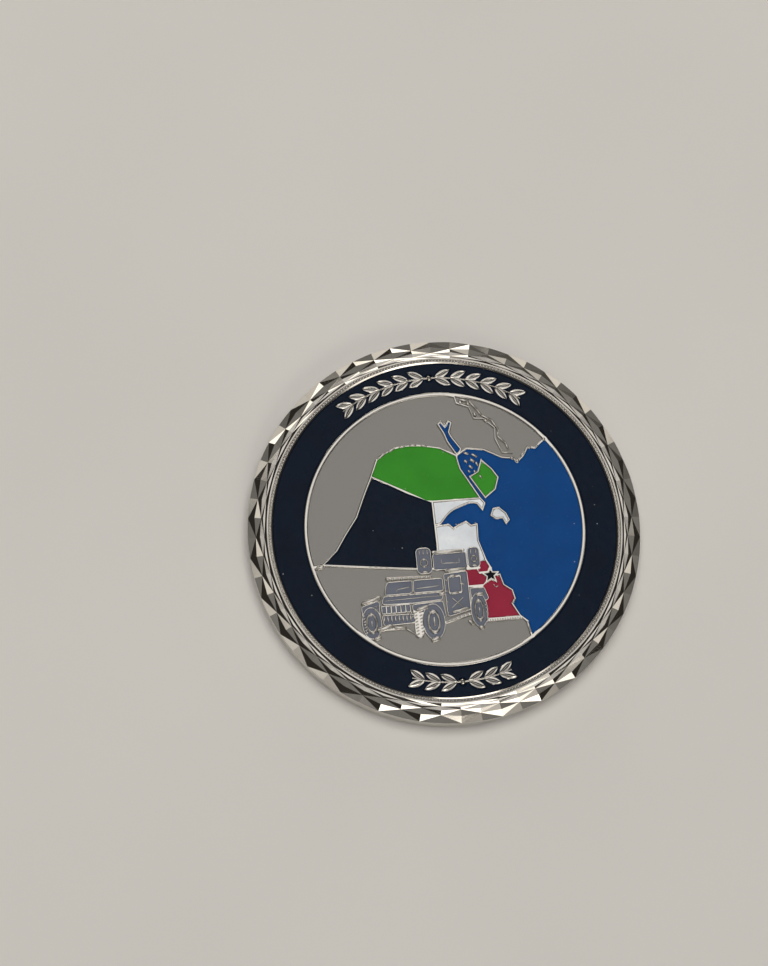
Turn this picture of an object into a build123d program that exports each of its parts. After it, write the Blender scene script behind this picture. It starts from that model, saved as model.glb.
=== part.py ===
from build123d import *
from math import cos, radians, sin
import os

# A die-struck challenge coin, lying on its reverse with the obverse up. One nickel-plated metal
# blank carries every raised line and the faceted rim, and each cell between the raised lines
# holds its own casting of enamel. The coin's axis is Z, and the top of the design is towards +Y.
# Millimetres and degrees throughout.

# ---------------------------------------------------------------- driving dimensions
COIN_RADIUS = 22.225          # a 1.75 inch coin
THICKNESS = 3.2               # over the two rims
RIM_OUTER = 20.10             # plain rim, from the facets in to the border ring
RIM_INNER = 19.45
BORDER_INNER = 15.95          # inner wall of the dark border ring
MEDAL_RADIUS = 15.50          # the picture, inside a narrow raised ring

LINE_DROP = 0.10              # raised lines stand this far below the rim
ENAMEL_DROP = 0.24            # surface of the enamel
FIELD_DROP = 0.35             # polished metal ground of the picture
FLOOR_DROP = 0.55             # floor of the enamel cells
LINE_WIDTH = 0.26             # raised lines between the map's cells
TRUCK_LINE = 0.14             # metal left round each cell of the truck
TRUCK_CORNER = 0.20           # corner radius of the truck's cells
SLIVER = 0.05                 # scraps of ground smaller than this, in mm2, stay filled with metal

GROOVE_OUTER = 19.92          # shallow groove milled along each rim
GROOVE_INNER = 19.68
GROOVE_DEPTH = 0.08

FACET_COUNT = 30              # straight cuts round the rim, each one a chord of the coin
FACET_PHASE = 4.5             # angle of the outermost crossings, from +X
FACET_REACH = 22.27           # radius of the outermost crossings, just past the coin's edge
BEVEL_TOP_DROP = 0.14         # the faceted band falls from here, beside the rim,
BEVEL_EDGE_DROP = 0.64        # to here, at the coin's edge
PEAK_RISE = {2: 0.06, 3: 0.16, 4: 0.25, 5: 0.20}   # height of the pyramids in each row
CUTTER_CLEARANCE = 0.5        # the rim cutter stands this far above the coin

SPRIG_RADIUS = 17.72          # stem of the laurel garlands in the border ring
STEM_WIDTH = 0.20
LEAF_LENGTH = 2.05
LEAF_WIDTH = 0.80
LEAF_SPREAD = 27              # the leaves' angle to the stem
LEAF_PITCH = 5.7              # pairs of leaves along the stem
BERRY_RADIUS = 0.42

COMPASS_LONG = 12.4           # reverse: the compass rose's main and lesser points
COMPASS_SHORT = 8.2
COMPASS_WAIST = 3.1
COMPASS_RING = 13.6

# heights of the obverse; the reverse has the same, measured down from its own rim
LINE_Z = THICKNESS - LINE_DROP
ENAMEL_Z = THICKNESS - ENAMEL_DROP
FIELD_Z = THICKNESS - FIELD_DROP
FLOOR_Z = THICKNESS - FLOOR_DROP
ENAMEL_THICKNESS = ENAMEL_Z - FLOOR_Z

FACET_STEP = 360 / FACET_COUNT
CUT_RADIUS = FACET_REACH * cos(radians(2 * FACET_STEP))   # the circle that every cut touches

os.makedirs("parts", exist_ok=True)


# ---------------------------------------------------------------- faceted rim
def polar(radius, angle, height):
    """A point at an angle round the coin's axis."""
    return Vector(radius * cos(radians(angle)), radius * sin(radians(angle)), height)


def bevel_height(radius):
    """Height of the sloping band that the pyramids stand on."""
    share = (radius - CUT_RADIUS) / (FACET_REACH - CUT_RADIUS)
    return THICKNESS - BEVEL_TOP_DROP - share * (BEVEL_EDGE_DROP - BEVEL_TOP_DROP)


def crossing_radius(ring):
    """Radius at which a cut crosses the one that lies `ring` places round from it."""
    return CUT_RADIUS / cos(radians(ring * FACET_STEP / 2))


def node_angle(ring, index):
    """Angle of a crossing: the odd rings stand half a step on from the even ones."""
    return FACET_PHASE + (index + ring % 2 / 2) * FACET_STEP


def crossing(ring, index):
    """A valley point, where two cuts cross."""
    radius = crossing_radius(ring)
    return polar(radius, node_angle(ring, index), bevel_height(radius))


def peak(ring, index):
    """The tip of the pyramid whose outer corner is a crossing of `ring`."""
    radius = (crossing_radius(ring) + crossing_radius(ring - 2)) / 2
    return polar(radius, node_angle(ring, index), bevel_height(radius) + PEAK_RISE[ring])


def pyramid(ring, index):
    """The facets of one pyramid. The outermost row has only its two inner facets."""
    first = index + ring % 2 - 1
    west, east = crossing(ring - 1, first), crossing(ring - 1, first + 1)
    inner, top = crossing(ring - 2, index), peak(ring, index)
    facets = [(west, inner, top), (inner, east, top)]
    if ring < 5:
        outer = crossing(ring, index)
        facets += [(outer, west, top), (east, outer, top)]
    return facets


def rim_slope(index):
    """The narrow slope from the plain rim down to the innermost crossings."""
    facets = []
    for ring, other, step in ((0, 1, 0), (1, 0, 1)):
        low, low_next = crossing(ring, index), crossing(other, index + step)
        high = polar(RIM_OUTER, node_angle(ring, index), THICKNESS)
        high_next = polar(RIM_OUTER, node_angle(other, index + step), THICKNESS)
        facets += [(low, low_next, high), (low_next, high_next, high)]
    return facets


def polygon_face(*points):
    """A flat face through the given points."""
    return Face(Wire.make_polygon(points, close=True))


def make_rim_cutter():
    """Everything above the obverse's faceted band, as one solid with the facets for its floor."""
    ceiling = THICKNESS + CUTTER_CLEARANCE
    faces, inside, outside = [], [], []
    for k in range(FACET_COUNT):
        for ring in PEAK_RISE:
            faces += [polygon_face(*facet) for facet in pyramid(ring, k)]
        faces += [polygon_face(*facet) for facet in rim_slope(k)]
        inside += [polar(RIM_OUTER, node_angle(ring, k), THICKNESS) for ring in (0, 1)]
        outside += [crossing(4, k), peak(5, k)]
    for loop in (inside, outside):
        for start, end in zip(loop, loop[1:] + loop[:1]):
            lifted = [Vector(point.X, point.Y, ceiling) for point in (end, start)]
            faces.append(polygon_face(start, end, *lifted))
    lids = [Wire.make_polygon([Vector(p.X, p.Y, ceiling) for p in loop], close=True)
            for loop in (outside, inside)]
    faces.append(Face(lids[0], [lids[1]]))
    return Solid(Shell(faces))


# ---------------------------------------------------------------- outlines in plan
def area(points, radius=0.0):
    """A closed outline, with softened corners where it is given a radius."""
    with BuildSketch() as plan:
        with BuildLine():
            if radius:
                FilletPolyline(*points, radius=radius, close=True)
            else:
                Polyline(*points, close=True)
        make_face()
    return plan.sketch


def grown(shape, amount):
    """A shape with its outline moved out, or in where the amount is negative."""
    with BuildSketch() as plan:
        add(shape)
        offset(amount=amount, kind=Kind.ARC if amount > 0 else Kind.INTERSECTION)
    return plan.sketch


def joined(shapes):
    """Several shapes as one."""
    with BuildSketch() as plan:
        for shape in shapes:
            add(shape)
    return plan.sketch


def less(shape, *others):
    """A shape with others cut out of it."""
    with BuildSketch() as plan:
        add(shape)
        for other in others:
            add(other, mode=Mode.SUBTRACT)
    return plan.sketch


def without_scraps(shape):
    """A shape without its slivers."""
    return Sketch([face for face in shape.faces() if face.area > SLIVER])


def within_medal(shape):
    """The part of a shape that lies inside the picture's round frame."""
    with BuildSketch() as plan:
        add(shape)
        Circle(MEDAL_RADIUS, mode=Mode.INTERSECT)
    return plan.sketch


def ring_area(outer, inner=0):
    """A flat ring about the coin's axis, or a disc where there is no inner radius."""
    with BuildSketch() as plan:
        Circle(outer)
        if inner:
            Circle(inner, mode=Mode.SUBTRACT)
    return plan.sketch


def bar(start, end, width):
    """A straight strip with round ends."""
    with BuildSketch() as plan:
        with BuildLine():
            Line(start, end)
        trace(line_width=width)
        for point in (start, end):
            with Locations(point):
                Circle(width / 2)
    return plan.sketch


# ---------------------------------------------------------------- border garlands
def make_garland(middle, pairs):
    """A stem along the border ring with pairs of leaves that point away from a middle berry."""
    reach = (pairs + 0.2) * LEAF_PITCH
    with BuildSketch() as plan:
        with BuildLine():
            CenterArc((0, 0), SPRIG_RADIUS, middle - reach, 2 * reach)
        trace(line_width=STEM_WIDTH)
        with PolarLocations(SPRIG_RADIUS, 1, start_angle=middle):
            Circle(BERRY_RADIUS)
        for side in (-1, 1):
            for pair in range(pairs):
                place = middle + side * (pair + 0.35) * LEAF_PITCH
                for tilt in (-LEAF_SPREAD, LEAF_SPREAD):
                    base = polar(SPRIG_RADIUS, place, 0)
                    with Locations(Location(base, (0, 0, place + side * 90 + tilt))):
                        add(leaf.sketch)
    return plan.sketch


with BuildSketch() as leaf:
    with BuildLine():
        ThreePointArc((0, 0), (LEAF_LENGTH * 0.45, LEAF_WIDTH / 2), (LEAF_LENGTH, 0))
        ThreePointArc((LEAF_LENGTH, 0), (LEAF_LENGTH * 0.45, -LEAF_WIDTH / 2), (0, 0))
    make_face()

garlands = joined([make_garland(90, 6), make_garland(-90, 3)])
border_ring = ring_area(RIM_INNER, BORDER_INNER)

# ---------------------------------------------------------------- the map on the obverse
# Regions share their borders, and a raised line runs along every border.
lands = {
    "green_land": area([(-7.8, 6.5), (-7.0, 8.4), (-4.9, 9.6), (-2.4, 9.8), (0.4, 9.2), (2.1, 8.2),
                        (2.4, 6.6), (3.1, 5.3), (4.3, 3.0), (-1.1, 3.0), (-3.9, 4.3)]),
    "green_island": area([(4.9, 7.5), (6.0, 6.3), (6.6, 5.3), (6.1, 3.9), (4.9, 3.0), (4.2, 4.2),
                          (3.4, 5.6), (4.4, 6.1)]),
    "black_land": area([(-7.8, 6.5), (-8.9, 4.2), (-9.9, 1.9), (-11.3, 0.0), (-12.5, -1.8),
                        (-14.2, -3.3), (-3.8, -4.6), (-1.15, -4.8), (-1.15, 3.0), (-3.9, 4.3)]),
    "north_shore": area([(-1.15, 3.0), (4.3, 3.0), (4.75, 2.4), (4.4, 1.6), (3.9, 2.4), (3.2, 2.6),
                         (2.1, 2.3), (1.1, 1.9), (0.2, 1.2), (-0.5, 0.4), (-1.15, 0.3)]),
    "south_shore": area([(-1.15, 0.1), (0.4, 0.2), (0.9, -0.3), (1.5, 0.05), (2.4, 0.4),
                         (2.9, -0.1), (3.6, 0.0), (3.5, -1.9), (3.9, -3.3), (4.1, -4.2),
                         (3.0, -4.7), (-1.15, -4.8)]),
    "islet": area([(5.3, 0.9), (5.6, 1.6), (6.3, 1.7), (7.0, 1.0), (7.3, 0.2), (6.9, -0.2),
                   (6.6, 0.5), (5.8, 0.5)]),
    "red_headland": area([(3.0, -4.2), (4.1, -4.2), (4.6, -5.2), (4.45, -5.65), (3.0, -5.65)]),
    "red_field": area([(1.6, -4.9), (3.0, -4.9), (3.3, -5.65), (4.45, -5.65), (4.45, -6.1),
                       (3.6, -7.1), (1.6, -7.1)]),
    "red_coast": area([(3.4, -7.1), (4.45, -6.1), (5.5, -6.0), (5.8, -7.2), (6.7, -7.9),
                       (6.9, -8.9), (6.5, -9.4), (7.3, -10.95), (3.2, -10.95)]),
}
channel = area([(0.75, 12.4), (1.2, 11.75), (1.65, 12.4), (1.95, 12.2), (1.6, 11.2), (1.9, 10.3),
                (2.75, 8.95), (2.3, 8.3), (2.0, 8.7), (1.3, 10.0), (1.0, 11.0), (0.45, 12.1)])
seaward = area([(16.0, 11.5), (12.3, 9.3), (11.2, 8.4), (10.4, 8.6), (9.8, 7.6), (9.0, 6.9),
                (8.6, 7.4), (7.3, 7.6), (5.3, 8.7), (3.4, 9.0), (2.2, 8.2), (1.5, 4.0), (-1.9, 3.0),
                (-1.9, -2.0), (2.0, -2.0), (3.6, -6.0), (5.0, -10.0), (7.2, -10.8), (8.0, -11.6),
                (8.3, -13.4), (12.0, -16.0), (20.0, 0.0)])
tailed_border = bar((-14.0, -3.35), (-15.6, -3.55), 0.45)
coast_road = bar((3.4, -11.15), (7.3, -11.15), 0.30)
river = [bar(*ends, 0.16) for ends in (
    ((2.7, 15.2), (2.8, 14.5)), ((2.8, 14.5), (4.2, 13.9)), ((4.2, 13.9), (4.6, 12.5)),
    ((4.6, 12.5), (5.7, 12.4)), ((5.7, 12.4), (6.9, 11.2)), ((6.9, 11.2), (6.8, 9.9)),
    ((6.8, 9.9), (7.4, 8.2)), ((7.4, 8.2), (8.6, 7.9)))]

STAR_CENTRE = Vector(4.45, -6.0)
STAR_RADIUS = 0.98
STAR_NOTCH = 0.42
star_points = [STAR_CENTRE + polar(STAR_RADIUS * (1, STAR_NOTCH)[k % 2], 90 + 36 * k, 0)
               for k in range(10)]
star = area([(point.X, point.Y) for point in star_points])

# ---------------------------------------------------------------- the truck on the obverse
# A general utility truck in three-quarter view, with a boxed load between two upright pods.
SLATS = 6
SLAT_PITCH = 0.54
WHEELS = {   # centre and half axes of each tyre's face
    "truck_far_wheel": ((-9.35, -10.35), (1.00, 1.70)),
    "truck_front_wheel": ((-2.45, -10.75), (1.15, 1.95)),
    "truck_rear_wheel": ((2.75, -9.85), (0.85, 1.85)),
}


def panel(*points):
    """One flat panel of the truck."""
    return area(points, TRUCK_CORNER)


def oval(centre, radii, margin=0.0):
    """An ellipse, wider all round by a margin."""
    with BuildSketch() as plan:
        with Locations(centre):
            Ellipse(radii[0] + margin, radii[1] + margin)
    return plan.sketch


def wheel(centre, radii):
    """A wheel seen from one side: the ring of its tyre, and the hub inside it."""
    width, height = radii
    tyre = less(oval(centre, radii), oval(centre, (width * 0.68, height * 0.72)))
    return joined([tyre, oval(centre, (width * 0.42, height * 0.48))])


window_opening = panel((-0.5, -5.75), (1.15, -5.65), (1.15, -7.75), (-0.5, -7.8))
truck_panels = {
    "truck_box": panel((-1.75, -3.15), (1.85, -3.15), (1.85, -4.85), (-1.75, -4.85)),
    "truck_pods": joined([
        area([(-3.6, -2.35), (-2.1, -2.35), (-2.1, -5.15), (-3.6, -5.15)], 0.45),
        area([(2.2, -2.7), (3.35, -2.7), (3.35, -4.9), (2.2, -4.9)], 0.40)]),
    "truck_windscreen": joined([
        panel((-7.15, -5.95), (-4.5, -5.95), (-4.6, -7.25), (-7.6, -7.25)),
        panel((-4.2, -5.95), (-1.1, -5.95), (-1.1, -7.25), (-4.3, -7.25))]),
    "truck_bonnet": panel((-7.75, -7.55), (-1.1, -7.55), (-1.35, -8.25), (-4.5, -8.4),
                          (-7.95, -8.3)),
    "truck_grille": joined(
        [area([(x, -8.62), (x + 0.36, -8.65), (x + 0.36, -9.35), (x, -9.32)])
         for x in [-8.05 + SLAT_PITCH * k for k in range(SLATS)]]),
    "truck_bumper": panel((-8.1, -9.65), (-4.75, -9.75), (-4.55, -10.6), (-7.95, -10.7)),
    "truck_far_wing": panel((-10.25, -8.5), (-8.4, -7.95), (-8.4, -9.6), (-10.25, -9.6)),
    "truck_near_wing": panel((-4.6, -8.7), (-1.3, -8.55), (-1.05, -10.4), (-4.6, -9.2)),
    "truck_door": less(panel((-0.75, -5.5), (1.75, -5.35), (1.75, -9.65), (-0.75, -10.25)),
                       window_opening),
    "truck_door_window": panel((-0.3, -5.95), (0.95, -5.87), (0.95, -7.55), (-0.3, -7.6)),
    "truck_rear_wing": panel((2.05, -7.35), (3.5, -7.4), (3.9, -8.7), (2.05, -8.7)),
}
wheel_metal = [oval(centre, radii, TRUCK_LINE) for centre, radii in WHEELS.values()]
truck_cells = {name: less(cell, *wheel_metal) for name, cell in truck_panels.items()}
truck_cells.update({name: wheel(*place) for name, place in WHEELS.items()})
truck_bars = [
    bar((-4.15, -9.2), (-4.15, -12.0), 1.0),
    bar((-7.2, -5.45), (-2.3, -5.6), 0.34),
    bar((-1.75, -2.85), (1.7, -2.85), 0.34),
    bar((-0.5, -5.1), (3.3, -5.05), 0.30),
    bar((-10.2, -8.1), (-8.1, -7.5), 0.30),
    bar((-8.8, -11.25), (-5.7, -11.15), 0.34),
    bar((-1.1, -10.95), (1.9, -10.15), 0.36),
]

# ---------------------------------------------------------------- cells and raised metal
truck = joined([grown(cell, TRUCK_LINE) for cell in [*truck_panels.values(), window_opening]]
               + wheel_metal + truck_bars)
star_line = grown(star, LINE_WIDTH / 2)
banks = [grown(land, LINE_WIDTH / 2) for land in [*lands.values(), channel]]
map_lines = within_medal(joined(
    banks + [grown(seaward, LINE_WIDTH / 2), star_line, truck, tailed_border, coast_road] + river))

front_cells = {f"{name}_enamel": without_scraps(
                   less(grown(land, -LINE_WIDTH / 2), star_line, truck))
               for name, land in lands.items()}
front_cells["channel_enamel"] = grown(channel, -LINE_WIDTH / 2)
front_cells["star_enamel"] = grown(star, -LINE_WIDTH / 2)
front_cells["sea_enamel"] = without_scraps(less(
    within_medal(grown(seaward, -LINE_WIDTH / 2)), *banks, star_line, truck, coast_road))
front_cells["border_enamel"] = less(border_ring, garlands)
front_cells.update({f"{name}_enamel": cell for name, cell in truck_cells.items()})

# ---------------------------------------------------------------- the reverse, seen from above
def rose_half(reach, direction):
    """Half of one point of the compass rose: from its axis round to the waist beside it."""
    waist = polar(COMPASS_WAIST, direction + 22.5 * (2 if reach == COMPASS_LONG else 1), 0)
    tip = polar(reach, direction, 0)
    with BuildSketch() as plan:
        with BuildLine():
            Polyline((0, 0), (tip.X, tip.Y), (waist.X, waist.Y), close=True)
        make_face()
    return plan.sketch


def rose_point(reach, direction):
    """A whole point of the compass rose."""
    return joined([rose_half(reach, direction), mirror_across(rose_half(reach, 0), direction)])


def mirror_across(half, direction):
    """The other half of a point that was drawn along +X, turned to its direction."""
    return mirror(half, Plane.XZ).rotate(Axis.Z, direction)


quarters = [90 * k for k in range(4)]
long_points = joined([rose_point(COMPASS_LONG, angle) for angle in quarters])
short_points = joined([rose_point(COMPASS_SHORT, angle + 45) for angle in quarters])
rose_cells = joined(
    [grown(rose_half(COMPASS_LONG, angle), -LINE_WIDTH / 2) for angle in quarters]
    + [less(grown(rose_half(COMPASS_SHORT, angle + 45), -LINE_WIDTH / 2),
            grown(long_points, LINE_WIDTH / 2)) for angle in quarters])
rose_lines = joined([grown(joined([long_points, short_points]), LINE_WIDTH / 2),
                     ring_area(COMPASS_RING + LINE_WIDTH / 2, COMPASS_RING - LINE_WIDTH / 2)])
BEADS = 24
with BuildSketch() as bead_plan:
    with PolarLocations(SPRIG_RADIUS, BEADS):
        Circle(BERRY_RADIUS)
back_cells = {
    "reverse_border_enamel": less(border_ring, bead_plan.sketch),
    "compass_enamel": rose_cells,
}

# ---------------------------------------------------------------- the blank
rim_cutter = make_rim_cutter()
front_field = without_scraps(less(ring_area(MEDAL_RADIUS), map_lines))
back_field = less(ring_area(MEDAL_RADIUS), rose_lines)

with BuildPart() as coin_blank:
    with BuildSketch():
        Circle(COIN_RADIUS)
    extrude(amount=THICKNESS)
    # the obverse, then the reverse: lowered inside the rim, then the field, then the cells
    for rim_z, inward, field, cells in (
            (THICKNESS, -1, front_field, front_cells), (0, 1, back_field, back_cells)):
        for plan, start, depth in (
                (ring_area(RIM_INNER), 0, LINE_DROP),
                (joined(cells.values()), LINE_DROP, FLOOR_DROP - LINE_DROP),
                (field, LINE_DROP, FIELD_DROP - LINE_DROP),
                (ring_area(GROOVE_OUTER, GROOVE_INNER), 0, GROOVE_DEPTH)):
            with BuildSketch(Plane.XY.offset(rim_z + inward * start)):
                add(plan)
            extrude(amount=inward * depth, mode=Mode.SUBTRACT)
    add(rim_cutter, mode=Mode.SUBTRACT)
    add(mirror(rim_cutter, Plane.XY.offset(THICKNESS / 2), mode=Mode.PRIVATE), mode=Mode.SUBTRACT)
coin_blank.part.label = "coin_blank"
export_step(coin_blank.part, "parts/coin_blank.step")

# ---------------------------------------------------------------- the enamels
for cells, floor_z, inward in ((front_cells, FLOOR_Z, 1), (back_cells, FLOOR_DROP, -1)):
    for name, cell in cells.items():
        with BuildPart() as enamel:
            with BuildSketch(Plane.XY.offset(floor_z)):
                add(cell)
            extrude(amount=inward * ENAMEL_THICKNESS)
        enamel.part.label = name
        export_step(enamel.part, f"parts/{name}.step")
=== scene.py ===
"""A die-struck challenge coin with enamel colours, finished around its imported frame.

The coin lies on its reverse with the obverse up. Outlines, heights and places are worked out in
millimetres and become metres where a mesh is made. A height is given as its drop below the rim of
the face that it is on, so the two faces share one set of rules.
"""
import logging
import math
from collections.abc import Iterable, Iterator, Sequence
from dataclasses import dataclass, field
from enum import Enum

import bmesh
import bpy
import numpy as np
from mathutils import Matrix, Vector, kdtree
from mathutils.geometry import delaunay_2d_cdt


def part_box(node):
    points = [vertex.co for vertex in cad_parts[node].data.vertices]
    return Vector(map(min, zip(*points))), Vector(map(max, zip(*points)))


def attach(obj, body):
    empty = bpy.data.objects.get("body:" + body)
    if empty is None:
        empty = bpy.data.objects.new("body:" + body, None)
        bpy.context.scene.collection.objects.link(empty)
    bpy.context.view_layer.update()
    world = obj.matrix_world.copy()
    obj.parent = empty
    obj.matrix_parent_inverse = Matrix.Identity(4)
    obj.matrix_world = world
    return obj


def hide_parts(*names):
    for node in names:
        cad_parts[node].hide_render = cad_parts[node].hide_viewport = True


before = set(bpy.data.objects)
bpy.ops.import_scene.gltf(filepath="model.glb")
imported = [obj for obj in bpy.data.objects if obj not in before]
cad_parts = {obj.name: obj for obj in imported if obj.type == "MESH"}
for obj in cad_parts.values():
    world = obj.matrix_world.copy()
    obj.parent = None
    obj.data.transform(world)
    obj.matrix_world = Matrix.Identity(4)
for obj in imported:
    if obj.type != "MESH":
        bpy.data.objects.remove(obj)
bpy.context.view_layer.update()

log = logging.getLogger("coin")

MM = 0.001
BODY = "root"
BLANK = "coin_blank"
PLATE = "nickel_plate"
FACET_CREASE = 3.0
LEAF_CREASE = 24.0
BEAD_CREASE = 40.0
TRIM_CREASE = 50.0

Point2 = tuple[float, float]
Point3 = tuple[float, float, float]
Colour = tuple[float, float, float]


# ---------------------------------------------------------------- shared sizes and choices
class Side(Enum):
    """The coin's two faces. The value is the way that the face looks along Z."""

    OBVERSE = 1
    REVERSE = -1


@dataclass(frozen=True)
class CoinSizes:
    """Sizes that all the sub-assemblies share, in millimetres."""

    radius: float
    thickness: float
    rim_outer: float = 20.10
    rim_inner: float = 19.45
    frame_outer: float = 15.95
    frame_inner: float = 15.50
    line_drop: float = 0.10
    enamel_drop: float = 0.24
    field_drop: float = 0.35
    floor_drop: float = 0.55
    sprig_radius: float = 17.72

    def height(self, drop: float, side: Side) -> float:
        """Height above the table of a level that lies `drop` below a face's rim."""
        return self.thickness - drop if side is Side.OBVERSE else drop


def measured_coin() -> CoinSizes:
    """The coin's radius and thickness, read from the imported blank."""
    low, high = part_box(BLANK)
    return CoinSizes(radius=(high.x - low.x) / 2 / MM, thickness=(high.z - low.z) / MM)


def polar(radius: float, degrees: float) -> Point2:
    """A point in plan, at an angle round the coin's axis."""
    turn = math.radians(degrees)
    return radius * math.cos(turn), radius * math.sin(turn)


# ---------------------------------------------------------------- finishes
@dataclass(frozen=True)
class Patches:
    """Patches where a noise is high: cycles per millimetre, detail, limits and full strength."""

    scale: float
    detail: float
    low: float
    high: float
    most: float = 1.0


class NodeWork:
    """A node tree, with short ways to add and join its nodes."""

    def __init__(self, tree: bpy.types.NodeTree) -> None:
        """Keeps the tree that nodes are added to."""
        self.tree = tree

    def node(self, kind: str, inputs: dict[int | str, object] | None = None,
             **settings: object) -> bpy.types.Node:
        """Adds a node.

        Args:
            kind: The node's type.
            inputs: Values or sockets for its inputs, by name or place.
            settings: The node's own properties.

        Returns:
            The node.
        """
        made = self.tree.nodes.new(kind)
        for key, value in settings.items():
            setattr(made, key, value)
        for name, value in (inputs or {}).items():
            self.feed(made.inputs[name], value)
        return made

    def feed(self, socket: bpy.types.NodeSocket, value: object) -> None:
        """Links a socket, or sets it where it is given a plain value."""
        if isinstance(value, bpy.types.NodeSocket):
            self.tree.links.new(value, socket)
        else:
            socket.default_value = value

    def sum(self, operation: str, first: object, second: object = 0.0) -> bpy.types.NodeSocket:
        """One step of arithmetic."""
        return self.node("ShaderNodeMath", {0: first, 1: second}, operation=operation).outputs[0]


class Shader(NodeWork):
    """A material's nodes: patterns in millimetres over a Principled surface."""

    def __init__(self, name: str) -> None:
        """Starts a material with the given name."""
        self.material = bpy.data.materials.new(name)
        self.material.use_nodes = True
        super().__init__(self.material.node_tree)
        self.place = self.node("ShaderNodeTexCoord").outputs["Object"]

    def dress(self, inputs: dict[str, object]) -> None:
        """Sets or links inputs of the surface."""
        for name, value in inputs.items():
            self.feed(self.tree.nodes["Principled BSDF"].inputs[name], value)

    def mapped(self, scale: Sequence[float], turn: float = 0.0) -> bpy.types.NodeSocket:
        """Object coordinates scaled to cycles per millimetre and turned about Z.

        Args:
            scale: Cycles per millimetre along X, Y and Z.
            turn: Degrees about Z.

        Returns:
            The mapped vector.
        """
        return self.node("ShaderNodeMapping", {
            "Rotation": (0.0, 0.0, math.radians(turn)), "Scale": [MM / share for share in scale],
            "Vector": self.place}, vector_type="TEXTURE").outputs["Vector"]

    def noise(self, scale: float | Sequence[float], detail: float = 2.0, turn: float = 0.0,
              roughness: float = 0.5) -> bpy.types.NodeSocket:
        """A noise with the given cycles per millimetre, alike along X, Y and Z or one for each."""
        if isinstance(scale, float):
            scale = (scale, scale, scale)
        return self.node("ShaderNodeTexNoise", {
            "Scale": 1.0, "Detail": detail, "Roughness": roughness,
            "Vector": self.mapped(scale, turn)}).outputs["Fac"]

    def ranged(self, value: bpy.types.NodeSocket, low: float, high: float,
               out_low: float, out_high: float) -> bpy.types.NodeSocket:
        """A value moved from one range to another, and held inside it."""
        return self.node("ShaderNodeMapRange", {
            "Value": value, "From Min": low, "From Max": high, "To Min": out_low,
            "To Max": out_high}).outputs["Result"]

    def spread(self, patches: Patches) -> bpy.types.NodeSocket:
        """How strongly patches show, from 0 to their full strength."""
        return self.ranged(self.noise(patches.scale, patches.detail), patches.low, patches.high,
                           0.0, patches.most)

    def blend(self, share: bpy.types.NodeSocket, first: object, second: object) -> bpy.types.NodeSocket:
        """A mix of two colours, each a colour or another mix's output.

        Args:
            share: How much of the second colour shows, from 0 to 1.
            first: The first colour.
            second: The second colour.

        Returns:
            The mixed colour.
        """
        ends = [colour if isinstance(colour, bpy.types.NodeSocket) else (*colour, 1.0)
                for colour in (first, second)]
        return self.node("ShaderNodeMix", {"Factor": share, 6: ends[0], 7: ends[1]},
                         data_type="RGBA").outputs[2]

    def relief(self, steps: Sequence[tuple[bpy.types.NodeSocket, float]]) -> None:
        """Feeds the surface a bump from several patterns.

        Args:
            steps: Each pattern and its full height in millimetres.
        """
        under: dict[str, object] = {}
        for value, height in steps:
            bump = self.node("ShaderNodeBump", {
                "Strength": 1.0, "Distance": height * MM, "Height": value, **under})
            under = {"Normal": bump.outputs["Normal"]}
        self.dress(under)


@dataclass(frozen=True)
class NickelFinish:
    """Polished nickel plate: how bright, how clear and how evenly it is polished."""

    name: str
    tone: Colour = (0.80, 0.765, 0.715)
    tarnish: Colour = (0.62, 0.575, 0.515)
    polish: float = 0.09
    haze: float = 0.08
    waviness: float = 0.0016
    scratches: float = 0.00035
    ground: Colour | None = None
    ground_polish: float = 0.42
    ground_level: tuple[float, float] = (1.29, 1.36)
    mid_height: float = 1.6
    drift: Patches = Patches(0.12, 2.0, 0.40, 0.72, 0.30)
    grime: Patches = Patches(2.6, 4.0, 0.55, 0.80, 0.35)
    smear_scale: Point3 = (0.16, 0.5, 0.3)
    wave_scale: float = 0.55
    line_scale: Point3 = (9.0, 0.25, 2.0)
    cross_line_scale: Point3 = (7.0, 0.18, 2.0)

    def grounded(self, shader: Shader, colour: bpy.types.NodeSocket,
                 haze: bpy.types.NodeSocket) -> tuple[bpy.types.NodeSocket, bpy.types.NodeSocket]:
        """Makes the plate satin near the coin's middle height, where the die was left blasted.

        Args:
            shader: The plate's shader.
            colour: The polished plate's colour.
            haze: The polished plate's roughness.

        Returns:
            The colour and the roughness with the satin ground in them.
        """
        split = shader.node("ShaderNodeSeparateXYZ", {0: shader.place})
        away = shader.sum("SUBTRACT", split.outputs["Z"], self.mid_height * MM)
        low, high = self.ground_level
        raised = shader.ranged(shader.sum("ABSOLUTE", away), low * MM, high * MM, 0.0, 1.0)
        rough = shader.node("ShaderNodeMix", {"Factor": raised, 2: self.ground_polish, 3: haze},
                            data_type="FLOAT")
        return shader.blend(raised, self.ground, colour), rough.outputs[0]

    def make(self) -> bpy.types.Material:
        """Builds the plate: tone and haze that drift, faint waves and fine polishing lines."""
        shader = Shader(self.name)
        colour = shader.blend(shader.spread(self.drift), self.tone, self.tarnish)
        colour = shader.blend(shader.spread(self.grime), colour, self.tarnish)
        smears = shader.noise(self.smear_scale, 4.0, 28.0, 0.6)
        haze = shader.ranged(smears, 0.35, 0.75, self.polish, self.polish + self.haze)
        if self.ground:
            colour, haze = self.grounded(shader, colour, haze)
        shader.dress({"Metallic": 1.0, "Base Color": colour, "Roughness": haze})
        waves = shader.noise(self.wave_scale, 1.0)
        lines = shader.noise(self.line_scale, 2.0, 37.0)
        cross_lines = shader.noise(self.cross_line_scale, 2.0, -64.0)
        shader.relief(((waves, self.waviness), (lines, self.scratches),
                       (cross_lines, self.scratches)))
        return shader.material


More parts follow.
